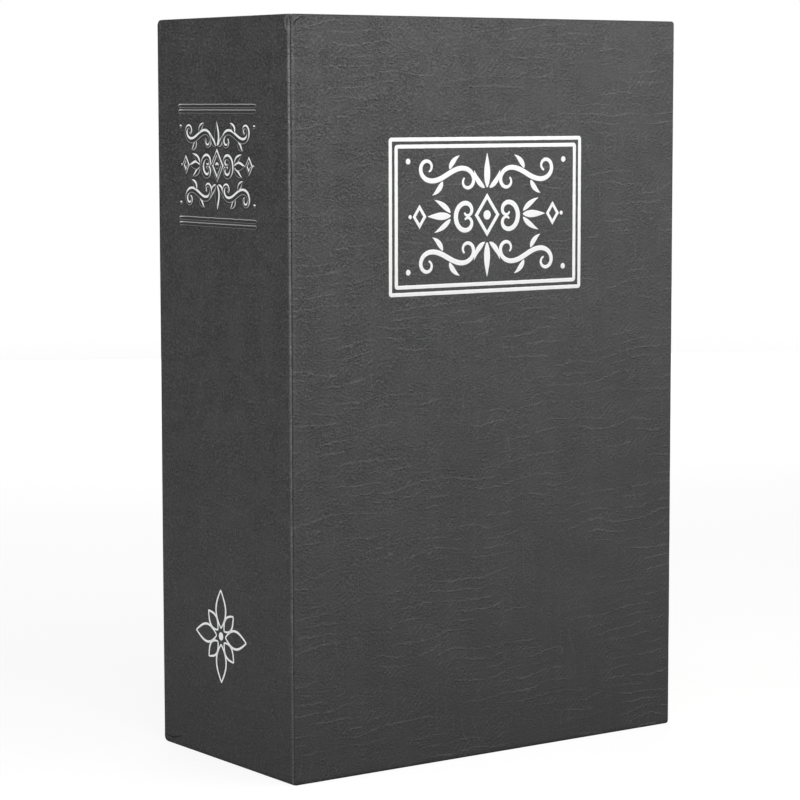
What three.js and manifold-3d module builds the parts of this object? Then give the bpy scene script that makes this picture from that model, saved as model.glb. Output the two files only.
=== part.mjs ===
// A book safe: a hardback case round a moulded page frame that holds a steel lock box.
// Millimetres, +Z up. The book stands on its tail with the front cover towards -Y and the spine at -X.
// The origin is on the floor under the middle of the book.

import * as THREE from 'three';
import { mergeVertices } from 'three/addons/utils/BufferGeometryUtils.js';
import Module from 'manifold-3d';

const wasm = await Module();
wasm.setup();

// Whole book
const bookHeight = 180;
const bookWidth = 116;
const bookThickness = 60;

// Fits, and how far a cutting or joining solid reaches past the face that it works on
const glueLine = 0.05;
const runningGap = 0.3;
const looseGap = 0.5;
const pinGap = 0.25;
const overshoot = 1;

// Case
const wrapThickness = 0.4;
const boardThickness = 2;
const endpaperThickness = 0.2;
const endpaperMargin = 2;
const turnIn = 12;
const creaseWidth = 0.4;
const creaseChamfer = 0.35;
const edgeRadius = 1;
const stripDepth = 2.6;
const stripThickness = 0.24;

// Page frame
const coverOverhang = 3;
const frameBand = 8;
const frameWall = 1.6;
const pagePitch = 1.3;
const pageGroove = 0.45;
const pageGrooveDepth = 0.35;
const bossWidth = 8;

// Steel box and door
const steel = 1;
const lipWidth = 5;
const doorCorner = 1.5;
const strikeReach = 8;
const strikeHeight = 16;

// Door hinges
const barrelRadius = 2;
const hingePinRadius = 1;
const pinHeadRadius = 1.7;
const pinHeadThickness = 0.8;
const knuckleLength = 8.4;
const hingeSpacing = 104;

// Tray screws
const screwShankRadius = 1.1;
const screwShankLength = 6;
const screwHeadRadius = 2.2;
const screwHeadThickness = 1.2;
const screwHeadChamfer = 0.5;
const screwSpacing = 50;

// Lock
const lockFromDoorEdge = 16.75;
const flangeRadius = 9.5;
const flangeThickness = 2;
const flangeChamfer = 0.6;
const housingRadius = 6.5;
const housingFlat = 5.9;
const housingLength = 13;
const waferChannelWidth = 3.8;
const waferChannelHalf = 5;
const lockWasherRadius = 9;
const lockWasherThickness = 0.8;
const nutAcrossFlats = 16;
const nutThickness = 3.5;
const plugRadius = 4;
const plugRecess = 0.2;
const keywayWidth = 1.6;
const keywayAbove = 2.6;
const keywayBelow = 3;
const keywayDepth = 9.1;
const waferCount = 5;
const waferPitch = 1.6;
const firstWafer = 1.9;
const waferThickness = 0.8;
const waferWidth = 3.2;
const waferHeight = 7.2;
const waferGap = 0.2;
const waferWindowWidth = 1.8;
const waferWindowHeight = 4.4;
const tailSize = 4.6;
const camThickness = 1.5;
const camWidth = 8;
const camReach = 16;
const camWasherRadius = 4.2;
const camWasherThickness = 0.6;
const camScrewRadius = 1.2;
const camScrewLength = 4.5;
const camScrewHeadRadius = 3.2;
const camScrewHeadThickness = 1.6;
const driverSlotWidth = 0.8;
const driverSlotDepth = 0.6;

// Outer faces of the book
const spineFace = -bookWidth / 2;
const foreEdge = bookWidth / 2;
const frontFace = -bookThickness / 2;
const backFace = bookThickness / 2;

// Depths into a cover, counted from its outer face
const boardTop = wrapThickness + glueLine;
const boardBottom = boardTop + boardThickness;
const turnInTop = boardBottom + glueLine;
const wrappedThickness = turnInTop + wrapThickness;
const endpaperTop = wrappedThickness + glueLine;
const coverThickness = endpaperTop + endpaperThickness;

// Page frame's outside
const frameLeft = spineFace + wrappedThickness + glueLine;
const frameRight = foreEdge - coverOverhang;
const frameFront = frontFace + coverThickness + runningGap;
const frameBack = backFace - coverThickness - glueLine;
const frameTail = coverOverhang;
const frameHead = bookHeight - coverOverhang;

// Steel box's outside, inside the page frame's window
const trayLeft = frameLeft + frameBand + runningGap;
const trayRight = frameRight - frameBand - runningGap;
const trayTail = frameTail + frameBand + runningGap;
const trayHead = frameHead - frameBand - runningGap;
const trayBack = frameBack;

// Door's front lies behind the cover by the lock flange
const doorFront = frontFace + coverThickness + runningGap + glueLine + flangeThickness;
const doorBack = doorFront + steel;
const lipFront = doorBack + runningGap;
const lipBack = lipFront + steel;
const hingeX = trayLeft + steel + runningGap + barrelRadius;
const hingeY = doorFront;
const doorRight = trayRight - steel - looseGap;
const doorTail = trayTail + steel + looseGap;
const doorHead = trayHead - steel - looseGap;
const doorLeft = hingeX + barrelRadius + runningGap;
const middleHeight = bookHeight / 2;
const hingeHeights = [middleHeight + hingeSpacing / 2, middleHeight - hingeSpacing / 2];
const hingeLength = 3 * knuckleLength + 2 * runningGap;

// Lock axis runs along Y through the door
const lockX = doorRight - lockFromDoorEdge;
const housingBack = housingLength - flangeThickness;
const plugFront = plugRecess - flangeThickness;
const plugBack = housingBack + runningGap;
const camFront = plugBack + glueLine;
const camBack = camFront + camThickness;
const strikeBack = doorFront + camFront - runningGap;

// Colours: cover paper, greyboard, endpaper, page frame, black steel, bright steel, lock plating, brass
const paperFinish = { color: 0x4a4a4b, roughness: 0.72, metalness: 0 };
const boardFinish = { color: 0x8a857b, roughness: 0.95, metalness: 0 };
const endpaperFinish = { color: 0x1f1f20, roughness: 0.8, metalness: 0 };
const pageFinish = { color: 0xe9dfc4, roughness: 0.6, metalness: 0 };
const blackSteelFinish = { color: 0x1b1b1c, roughness: 0.5, metalness: 0.3 };
const brightSteelFinish = { color: 0xb4b4b2, roughness: 0.35, metalness: 1 };
const platedFinish = { color: 0xcfd0d2, roughness: 0.18, metalness: 1 };
const brassFinish = { color: 0xc09a4a, roughness: 0.35, metalness: 1 };

// A closed geometry as a solid that can be cut and joined
function toSolid(geometry) {
  const bare = geometry.clone();
  bare.deleteAttribute('normal');
  bare.deleteAttribute('uv');
  const merged = mergeVertices(bare, 1e-4);
  const vertProperties = new Float32Array(merged.attributes.position.array);
  const triVerts = new Uint32Array(merged.index.array);
  return new wasm.Manifold(new wasm.Mesh({ numProp: 3, vertProperties, triVerts }));
}

// A cut or joined solid as a geometry again
function toGeometry(solid) {
  const mesh = solid.getMesh();
  const geometry = new THREE.BufferGeometry();
  geometry.setAttribute('position', new THREE.BufferAttribute(mesh.vertProperties.slice(), 3));
  geometry.setIndex(new THREE.BufferAttribute(mesh.triVerts.slice(), 1));
  geometry.computeVertexNormals();
  return geometry;
}

// Joins the first list of solids and cuts the second list from them
function carve(added, removed = []) {
  let result = added[0];
  for (const solid of added.slice(1)) {
    result = result.add(solid);
  }
  for (const solid of removed) {
    result = result.subtract(solid);
  }
  return result;
}

function box([x0, x1], [y0, y1], [z0, z1]) {
  const geometry = new THREE.BoxGeometry(x1 - x0, y1 - y0, z1 - z0);
  geometry.translate((x0 + x1) / 2, (y0 + y1) / 2, (z0 + z1) / 2);
  return toSolid(geometry);
}

// Outline in the XY plane, raised from z0 to z1
function uprightPrism(outline, z0, z1) {
  const shape = outline instanceof THREE.Shape ? outline : outlineShape(outline);
  const settings = { depth: z1 - z0, bevelEnabled: false, curveSegments: 4 };
  const geometry = new THREE.ExtrudeGeometry(shape, settings);
  geometry.translate(0, 0, z0);
  return toSolid(geometry);
}

// Outline of (x, z) points, carried from y0 to y1
function deepPrism(outline, y0, y1) {
  const shape = outline instanceof THREE.Shape ? outline : outlineShape(outline);
  const settings = { depth: y1 - y0, bevelEnabled: false, curveSegments: 4 };
  const geometry = new THREE.ExtrudeGeometry(shape, settings);
  geometry.rotateX(Math.PI / 2);
  geometry.translate(0, y1, 0);
  return toSolid(geometry);
}

function outlineShape(points) {
  return new THREE.Shape(points.map(([u, v]) => new THREE.Vector2(u, v)));
}

// Rectangle with round corners
function roundedRectangle(u0, u1, v0, v1, radius) {
  const shape = new THREE.Shape();
  shape.moveTo(u0 + radius, v0);
  shape.lineTo(u1 - radius, v0);
  shape.absarc(u1 - radius, v0 + radius, radius, -Math.PI / 2, 0, false);
  shape.lineTo(u1, v1 - radius);
  shape.absarc(u1 - radius, v1 - radius, radius, 0, Math.PI / 2, false);
  shape.lineTo(u0 + radius, v1);
  shape.absarc(u0 + radius, v1 - radius, radius, Math.PI / 2, Math.PI, false);
  shape.lineTo(u0, v0 + radius);
  shape.absarc(u0 + radius, v0 + radius, radius, Math.PI, 1.5 * Math.PI, false);
  return shape;
}

// Cylinder along Y from y0 to y1 round the Y axis
function deepCylinder(radius, y0, y1, sides = 32) {
  const geometry = new THREE.CylinderGeometry(radius, radius, y1 - y0, sides);
  geometry.translate(0, (y0 + y1) / 2, 0);
  return toSolid(geometry);
}

// Cylinder along Z, centred on x, y
function uprightCylinder(radius, x, y, z0, z1, sides = 20) {
  const geometry = new THREE.CylinderGeometry(radius, radius, z1 - z0, sides);
  geometry.rotateX(Math.PI / 2);
  geometry.translate(x, y, (z0 + z1) / 2);
  return toSolid(geometry);
}

function piece(name, solid, finish) {
  const mesh = new THREE.Mesh(toGeometry(solid), new THREE.MeshStandardMaterial(finish));
  mesh.name = name;
  return mesh;
}

// Front cover's paper: a flat tray round the board, mitred at the spine, with turned-in margins
function frontWrap() {
  const mitre = (depth) => spineFace + creaseWidth + depth;
  const shape = new THREE.Shape();
  shape.moveTo(mitre(creaseChamfer * 2), frontFace);
  shape.lineTo(foreEdge - edgeRadius, frontFace);
  shape.absarc(foreEdge - edgeRadius, frontFace + edgeRadius, edgeRadius, -Math.PI / 2, 0, false);
  shape.lineTo(foreEdge, frontFace + wrappedThickness);
  shape.lineTo(mitre(wrappedThickness), frontFace + wrappedThickness);
  shape.lineTo(mitre(creaseChamfer), frontFace + creaseChamfer);
  const pocketMitre = wrapThickness * Math.SQRT2;
  const pocket = [
    [mitre(wrapThickness + pocketMitre), frontFace + wrapThickness],
    [foreEdge - wrapThickness, frontFace + wrapThickness],
    [foreEdge - wrapThickness, frontFace + turnInTop],
    [mitre(turnInTop + pocketMitre), frontFace + turnInTop],
  ];
  const windowLeft = mitre(wrappedThickness + pocketMitre);
  return carve(
    [uprightPrism(shape, 0, bookHeight)],
    [
      uprightPrism(pocket, wrapThickness, bookHeight - wrapThickness),
      box(
        [windowLeft, foreEdge - turnIn],
        [frontFace + boardBottom, frontFace + coverThickness],
        [turnIn, bookHeight - turnIn],
      ),
    ],
  );
}

// Front cover's board, a glue line inside its paper
function frontBoard() {
  const inset = boardTop * Math.SQRT2 + creaseWidth;
  const outline = [
    [spineFace + inset + boardTop, frontFace + boardTop],
    [foreEdge - boardTop, frontFace + boardTop],
    [foreEdge - boardTop, frontFace + boardBottom],
    [spineFace + inset + boardBottom, frontFace + boardBottom],
  ];
  return uprightPrism(outline, boardTop, bookHeight - boardTop);
}

// Paper pasted inside a cover: a sheet over the turned-in margins and a filler between them
function endpaper(coverFace, inward, left, fillerLeft) {
  const depths = (near, far) => [coverFace + inward * near, coverFace + inward * far].sort((a, b) => a - b);
  const sheet = box(
    [left, foreEdge - endpaperMargin],
    depths(endpaperTop, coverThickness),
    [endpaperMargin, bookHeight - endpaperMargin],
  );
  const filler = box(
    [fillerLeft, foreEdge - turnIn - runningGap],
    depths(turnInTop, coverThickness),
    [turnIn + runningGap, bookHeight - turnIn - runningGap],
  );
  return carve([sheet, filler]);
}

// Paper of the spine and the back cover, one sheet round both boards
function caseWrap() {
  const mitre = (depth) => frontFace + creaseWidth + depth;
  const shape = new THREE.Shape();
  shape.moveTo(spineFace, mitre(creaseChamfer * 2));
  shape.lineTo(spineFace + creaseChamfer, mitre(creaseChamfer));
  shape.lineTo(spineFace + wrappedThickness, mitre(wrappedThickness));
  shape.lineTo(spineFace + wrappedThickness, backFace - wrappedThickness);
  shape.lineTo(foreEdge, backFace - wrappedThickness);
  shape.lineTo(foreEdge, backFace - edgeRadius);
  shape.absarc(foreEdge - edgeRadius, backFace - edgeRadius, edgeRadius, 0, Math.PI / 2, false);
  shape.lineTo(spineFace + edgeRadius, backFace);
  shape.absarc(spineFace + edgeRadius, backFace - edgeRadius, edgeRadius, Math.PI / 2, Math.PI, false);
  const pocketMitre = wrapThickness * Math.SQRT2;
  const pocket = [
    [spineFace + wrapThickness, mitre(wrapThickness + pocketMitre)],
    [spineFace + turnInTop, mitre(turnInTop + pocketMitre)],
    [spineFace + turnInTop, backFace - turnInTop],
    [foreEdge - wrapThickness, backFace - turnInTop],
    [foreEdge - wrapThickness, backFace - wrapThickness],
    [spineFace + wrapThickness, backFace - wrapThickness],
  ];
  const windowHeights = [turnIn, bookHeight - turnIn];
  return carve(
    [uprightPrism(shape, 0, bookHeight)],
    [
      uprightPrism(pocket, wrapThickness, bookHeight - wrapThickness),
      box(
        [spineFace + boardBottom, spineFace + coverThickness],
        [mitre(wrappedThickness + pocketMitre), backFace - coverThickness],
        windowHeights,
      ),
      box(
        [spineFace + coverThickness + endpaperMargin, foreEdge - turnIn],
        [backFace - coverThickness, backFace - boardBottom],
        windowHeights,
      ),
    ],
  );
}

// Spine board, from the crease to the back board
function spineBoard() {
  const inset = boardTop * Math.SQRT2 + creaseWidth;
  const outline = [
    [spineFace + boardTop, frontFace + inset + boardTop],
    [spineFace + boardBottom, frontFace + inset + boardBottom],
    [spineFace + boardBottom, backFace - turnInTop],
    [spineFace + boardTop, backFace - turnInTop],
  ];
  return uprightPrism(outline, boardTop, bookHeight - boardTop);
}

function backBoard() {
  return box(
    [spineFace + boardTop, foreEdge - boardTop],
    [backFace - boardBottom, backFace - boardTop],
    [boardTop, bookHeight - boardTop],
  );
}

// Fold of the covering in the crease between spine and front cover, along the mitre's diagonal
function jointStrip() {
  const half = stripThickness / 2;
  const along = (depth, side) => [spineFace + depth + half * side, frontFace + depth - half * side];
  const outline = [
    along(runningGap, 1),
    along(stripDepth, 1),
    along(stripDepth, -1),
    along(runningGap, -1),
  ];
  return uprightPrism(outline, endpaperMargin, bookHeight - endpaperMargin);
}

// Page frame: an outer wall ribbed like page edges, a front border and an inner wall round the box
function pageFrame() {
  const outside = box([frameLeft, frameRight], [frameFront, frameBack], [frameTail, frameHead]);
  const window = box(
    [frameLeft + frameBand, frameRight - frameBand],
    [frameFront - overshoot, frameBack + overshoot],
    [frameTail + frameBand, frameHead - frameBand],
  );
  const channelBack = [frameFront + frameWall, frameBack + overshoot];
  const channelOutside = box(
    [frameLeft + frameWall, frameRight - frameWall],
    channelBack,
    [frameTail + frameWall, frameHead - frameWall],
  );
  const channelInside = box(
    [frameLeft + frameBand - frameWall, frameRight - frameBand + frameWall],
    [frameFront, frameBack + 2 * overshoot],
    [frameTail + frameBand - frameWall, frameHead - frameBand + frameWall],
  );
  const bosses = [];
  const holes = [];
  const half = bossWidth / 2;
  const depth = [-half, half];
  const skin = frameWall / 2;
  const holeRadius = screwShankRadius + runningGap;
  for (const x of [-screwSpacing / 2, screwSpacing / 2]) {
    const width = [x - half, x + half];
    bosses.push(box(width, depth, [frameTail + skin, frameTail + frameBand - skin]));
    bosses.push(box(width, depth, [frameHead - frameBand + skin, frameHead - skin]));
    const tailHole = [frameTail + frameWall + runningGap, frameTail + frameBand + overshoot];
    const headHole = [frameHead - frameBand - overshoot, frameHead - frameWall - runningGap];
    holes.push(uprightCylinder(holeRadius, x, 0, ...tailHole));
    holes.push(uprightCylinder(holeRadius, x, 0, ...headHole));
  }
  return carve([outside], [window, channelOutside.subtract(channelInside), ...pageGrooves()])
    .add(carve(bosses))
    .subtract(carve(holes));
}

// Grooves round head, fore-edge and tail that look like the edges of pages
function pageGrooves() {
  const outer = coverOverhang;
  const inner = pageGrooveDepth;
  const outline = [
    [frameLeft - outer, frameTail - outer],
    [frameRight + outer, frameTail - outer],
    [frameRight + outer, frameHead + outer],
    [frameLeft - outer, frameHead + outer],
    [frameLeft - outer, frameHead - inner],
    [frameRight - inner, frameHead - inner],
    [frameRight - inner, frameTail + inner],
    [frameLeft - outer, frameTail + inner],
  ];
  const depth = frameBack - frameFront;
  const count = Math.floor(depth / pagePitch) - 1;
  const start = frameFront + (depth - (count - 1) * pagePitch - pageGroove) / 2;
  const grooves = [];
  for (let i = 0; i < count; i += 1) {
    const y = start + i * pagePitch;
    grooves.push(deepPrism(outline, y, y + pageGroove));
  }
  return grooves;
}

// Ends of the three knuckles of one hinge, from the bottom up
function knuckleSpans(height) {
  const bottom = height - hingeLength / 2;
  const step = knuckleLength + runningGap;
  return [0, 1, 2].map((i) => [bottom + i * step, bottom + i * step + knuckleLength]);
}

function knuckle([z0, z1]) {
  return uprightCylinder(barrelRadius, hingeX, hingeY, z0, z1);
}

function pinBore(height) {
  const half = hingeLength / 2 + overshoot;
  return uprightCylinder(hingePinRadius + pinGap, hingeX, hingeY, height - half, height + half);
}

// Steel box: five walls, a rim round the door, a lip behind it and the fixed hinge knuckles
function safeTray() {
  const outside = box([trayLeft, trayRight], [doorFront, trayBack], [trayTail, trayHead]);
  const insideX = [trayLeft + steel, trayRight - steel];
  const insideZ = [trayTail + steel, trayHead - steel];
  const doorRecess = box(insideX, [doorFront - overshoot, lipFront], insideZ);
  const lipDepth = [lipFront - runningGap, lipBack + overshoot];
  const mouth = box(
    [insideX[0] + lipWidth, insideX[1] - lipWidth],
    lipDepth,
    [insideZ[0] + lipWidth, insideZ[1] - lipWidth],
  );
  const inside = box(insideX, [lipBack, trayBack - steel], insideZ);
  const cuts = [doorRecess, mouth, inside];
  const knuckles = [];
  for (const height of hingeHeights) {
    const half = hingeLength / 2 + pinHeadThickness + looseGap;
    const notch = [insideX[0], insideX[0] + lipWidth + overshoot];
    cuts.push(box(notch, lipDepth, [height - half, height + half]));
    const [low, , high] = knuckleSpans(height);
    for (const span of [low, high]) {
      knuckles.push(knuckle(span));
      knuckles.push(box([trayLeft + steel / 2, hingeX], [doorFront, doorBack], span));
    }
  }
  const holes = hingeHeights.map(pinBore);
  for (const x of [-screwSpacing / 2, screwSpacing / 2]) {
    const holeRadius = screwShankRadius + runningGap;
    holes.push(uprightCylinder(holeRadius, x, 0, trayTail - overshoot, insideZ[0] + overshoot));
    holes.push(uprightCylinder(holeRadius, x, 0, insideZ[1] - overshoot, trayHead + overshoot));
  }
  return carve([outside], cuts).add(carve(knuckles)).subtract(carve(holes));
}

// Door: a sheet with one knuckle for each hinge and a double-D hole for the lock
function doorPanel() {
  const outline = roundedRectangle(doorLeft, doorRight, doorTail, doorHead, doorCorner);
  const parts = [deepPrism(outline, doorFront, doorBack)];
  for (const height of hingeHeights) {
    const [, middle] = knuckleSpans(height);
    parts.push(knuckle(middle));
    parts.push(box([hingeX, doorLeft + overshoot], [doorFront, doorBack], middle));
  }
  const placedHole = lockHole(0, steel).translate([lockX, doorFront, middleHeight]);
  return carve(parts, [placedHole, ...hingeHeights.map(pinBore)]);
}

// Barrel with two flats, round the lock axis
function lockBarrel(radius, flat, y0, y1) {
  const flats = box([-radius, radius], [y0 - overshoot, y1 + overshoot], [-flat, flat]);
  return deepCylinder(radius, y0, y1).intersect(flats);
}

// Hole for the barrel through a sheet from y0 to y1
function lockHole(y0, y1) {
  return lockBarrel(housingRadius + runningGap, housingFlat + runningGap, y0 - overshoot, y1 + overshoot);
}

// Hinge pin with a head at each end, centred on its middle
function hingePin() {
  const half = hingeLength / 2 + pinGap;
  const top = half + pinHeadThickness;
  return carve([
    uprightCylinder(hingePinRadius, 0, 0, -half - glueLine, half + glueLine, 16),
    uprightCylinder(pinHeadRadius, 0, 0, half, top, 16),
    uprightCylinder(pinHeadRadius, 0, 0, -top, -half, 16),
  ]);
}

// Bracket on the fore-edge wall: a leg on the wall and a foot that the cam turns behind
function strikePlate() {
  const wall = trayRight - steel - glueLine;
  const legFront = lipBack + runningGap;
  const outline = [
    [wall, legFront],
    [wall, strikeBack],
    [wall - strikeReach, strikeBack],
    [wall - strikeReach, strikeBack - steel],
    [wall - steel, strikeBack - steel],
    [wall - steel, legFront],
  ];
  return uprightPrism(outline, middleHeight - strikeHeight / 2, middleHeight + strikeHeight / 2);
}

// Screw with its head inside the box, pointing up; its seat is at z = 0
function trayScrew() {
  const profile = [
    [0, -screwHeadThickness],
    [screwHeadRadius - screwHeadChamfer, -screwHeadThickness],
    [screwHeadRadius, screwHeadChamfer - screwHeadThickness],
    [screwHeadRadius, 0],
    [screwShankRadius, 0],
    [screwShankRadius, screwShankLength - screwShankRadius],
    [0, screwShankLength],
  ];
  const turned = new THREE.LatheGeometry(profile.map(([r, y]) => new THREE.Vector2(r, y)), 16);
  turned.rotateX(Math.PI / 2);
  const slot = box(
    [-screwHeadRadius, screwHeadRadius],
    [-driverSlotWidth / 2, driverSlotWidth / 2],
    [-screwHeadThickness - overshoot, -screwHeadThickness + driverSlotDepth],
  );
  return toSolid(turned).subtract(slot);
}

// Lock pieces: y = 0 is the door's front face and +Y runs into the box

function lockHousing() {
  const profile = [
    [0, -flangeThickness],
    [flangeRadius - flangeChamfer, -flangeThickness],
    [flangeRadius, flangeChamfer - flangeThickness],
    [flangeRadius, -glueLine],
    [0, -glueLine],
  ];
  const flange = toSolid(new THREE.LatheGeometry(profile.map(([r, y]) => new THREE.Vector2(r, y)), 48));
  const barrel = lockBarrel(housingRadius, housingFlat, -flangeThickness / 2, housingBack);
  const bore = deepCylinder(plugRadius + runningGap, -flangeThickness - overshoot, housingBack + overshoot);
  const channelEnd = plugFront + firstWafer + (waferCount - 0.5) * waferPitch;
  const channel = box(
    [-waferChannelWidth / 2, waferChannelWidth / 2],
    [-flangeThickness / 2, channelEnd],
    [-waferChannelHalf, waferChannelHalf],
  );
  return carve([flange, barrel], [bore, channel]);
}

function lockWasher() {
  const y0 = steel + glueLine;
  const y1 = y0 + lockWasherThickness;
  const bore = lockHole(y0, y1);
  return deepCylinder(lockWasherRadius, y0, y1).subtract(bore);
}

function lockNut() {
  const y0 = steel + 2 * glueLine + lockWasherThickness;
  const y1 = y0 + nutThickness;
  const cornerRadius = nutAcrossFlats / Math.sqrt(3);
  const hexagon = deepCylinder(cornerRadius, y0, y1, 6);
  return hexagon.subtract(deepCylinder(housingRadius + runningGap, y0 - overshoot, y1 + overshoot));
}

function waferPlace(index) {
  return plugFront + firstWafer + index * waferPitch;
}

function lockPlug() {
  const body = deepCylinder(plugRadius, plugFront, plugBack);
  const tailEnd = camBack - runningGap / 2;
  const half = tailSize / 2;
  const tail = box([-half, half], [plugBack - overshoot, tailEnd], [-half, half]);
  const keyway = box(
    [-keywayWidth / 2, keywayWidth / 2],
    [plugFront - overshoot, plugFront + keywayDepth],
    [-keywayBelow, keywayAbove],
  );
  const threadRadius = camScrewRadius + runningGap;
  const thread = deepCylinder(threadRadius, tailEnd - camScrewLength, tailEnd + overshoot, 16);
  const cuts = [keyway, thread];
  const slotWidth = waferWidth / 2 + waferGap;
  const slotHalf = waferThickness / 2 + waferGap;
  for (let i = 0; i < waferCount; i += 1) {
    const y = waferPlace(i);
    const slotDepth = [y - slotHalf, y + slotHalf];
    cuts.push(box([-slotWidth, slotWidth], slotDepth, [-2 * plugRadius, 2 * plugRadius]));
  }
  return carve([body, tail], cuts);
}

// Wafer centred on the plug's axis, with the key's window through it
function lockWafer() {
  const half = waferThickness / 2;
  const plate = box([-waferWidth / 2, waferWidth / 2], [-half, half], [-waferHeight / 2, waferHeight / 2]);
  const windowHalf = waferWindowWidth / 2;
  const windowHeight = waferWindowHeight / 2;
  const keyWindow = box([-windowHalf, windowHalf], [-2 * half, 2 * half], [-windowHeight, windowHeight]);
  return plate.subtract(keyWindow);
}

// Cam pointing up at rest: a bar with a round root and a round tip, and a square hole for the plug's tail
function lockCam() {
  const half = camWidth / 2;
  const tipRadius = camWidth / 4;
  const shape = new THREE.Shape();
  shape.moveTo(half, 0);
  shape.lineTo(half, camReach - tipRadius);
  shape.absarc(half - tipRadius, camReach - tipRadius, tipRadius, 0, Math.PI / 2, false);
  shape.lineTo(-half + tipRadius, camReach);
  shape.absarc(-half + tipRadius, camReach - tipRadius, tipRadius, Math.PI / 2, Math.PI, false);
  shape.lineTo(-half, 0);
  shape.absarc(0, 0, half, Math.PI, 2 * Math.PI, false);
  const hole = tailSize / 2 + runningGap;
  return deepPrism(shape, camFront, camBack).subtract(
    box([-hole, hole], [camFront - overshoot, camBack + overshoot], [-hole, hole]),
  );
}

function camWasher() {
  const y0 = camBack + glueLine;
  const y1 = y0 + camWasherThickness;
  return deepCylinder(camWasherRadius, y0, y1).subtract(
    deepCylinder(camScrewRadius + runningGap, y0 - overshoot, y1 + overshoot, 16),
  );
}

function camScrew() {
  const seat = camBack + 2 * glueLine + camWasherThickness;
  const shankEnd = camBack - camScrewLength + runningGap;
  const headEnd = seat + camScrewHeadThickness;
  const head = deepCylinder(camScrewHeadRadius, seat, headEnd, 24);
  const shank = deepCylinder(camScrewRadius, shankEnd, seat + camScrewHeadThickness / 2, 16);
  const slot = box(
    [-camScrewHeadRadius, camScrewHeadRadius],
    [headEnd - driverSlotDepth, headEnd + overshoot],
    [-driverSlotWidth / 2, driverSlotWidth / 2],
  );
  return carve([head, shank], [slot]);
}

function addCase(group) {
  const sheetLeft = spineFace + coverThickness + endpaperMargin;
  group.add(piece('case_wrap', caseWrap(), paperFinish));
  group.add(piece('spine_board', spineBoard(), boardFinish));
  group.add(piece('back_board', backBoard(), boardFinish));
  const pastedSheet = endpaper(backFace, -1, sheetLeft, sheetLeft + runningGap);
  group.add(piece('back_endpaper', pastedSheet, endpaperFinish));
  group.add(piece('joint_strip', jointStrip(), paperFinish));
  group.add(piece('page_frame', pageFrame(), pageFinish));
}

function addBox(group) {
  group.add(piece('safe_tray', safeTray(), blackSteelFinish));
  group.add(piece('strike_plate', strikePlate(), brightSteelFinish));
  hingeHeights.forEach((height, i) => {
    const pin = piece(i === 0 ? 'hinge_pin_upper' : 'hinge_pin_lower', hingePin(), brightSteelFinish);
    pin.position.set(hingeX, hingeY, height);
    group.add(pin);
  });
  let number = 0;
  for (const x of [-screwSpacing / 2, screwSpacing / 2]) {
    for (const upward of [true, false]) {
      number += 1;
      const screw = piece(`tray_screw_${number}`, trayScrew(), brightSteelFinish);
      const seat = upward ? trayHead - steel - glueLine : trayTail + steel + glueLine;
      screw.position.set(x, 0, seat);
      screw.rotation.x = upward ? 0 : Math.PI;
      group.add(screw);
    }
  }
}

function addFrontCover(group) {
  const sheetLeft = spineFace + creaseWidth + coverThickness + endpaperMargin;
  group.add(piece('front_wrap', frontWrap(), paperFinish));
  group.add(piece('front_board', frontBoard(), boardFinish));
  const pastedSheet = endpaper(frontFace, 1, sheetLeft, sheetLeft + runningGap);
  group.add(piece('front_endpaper', pastedSheet, endpaperFinish));
}

function addDoor(group) {
  group.add(piece('door_panel', doorPanel(), blackSteelFinish));
  const lock = new THREE.Group();
  lock.position.set(lockX, doorFront, middleHeight);
  lock.add(piece('lock_housing', lockHousing(), platedFinish));
  lock.add(piece('lock_washer', lockWasher(), brightSteelFinish));
  lock.add(piece('lock_nut', lockNut(), brightSteelFinish));
  lock.add(piece('lock_plug', lockPlug(), platedFinish));
  for (let i = 0; i < waferCount; i += 1) {
    const wafer = piece(`lock_wafer_${i + 1}`, lockWafer(), brassFinish);
    wafer.position.y = waferPlace(i);
    lock.add(wafer);
  }
  lock.add(piece('lock_cam', lockCam(), brightSteelFinish));
  lock.add(piece('cam_washer', camWasher(), brightSteelFinish));
  lock.add(piece('cam_screw', camScrew(), brightSteelFinish));
  group.add(lock);
}

const book = new THREE.Group();
addCase(book);
addBox(book);
addFrontCover(book);
addDoor(book);

export default book;
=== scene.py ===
"""Dresses the book safe: embossed cover paper, foil tooling, moulded pages, black steel box and cam lock."""

import logging
import math
from dataclasses import dataclass, field, replace
from enum import Enum
from typing import Optional, Sequence, Union

import bmesh
import bpy
import numpy as np
from mathutils import Matrix, Vector


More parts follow.
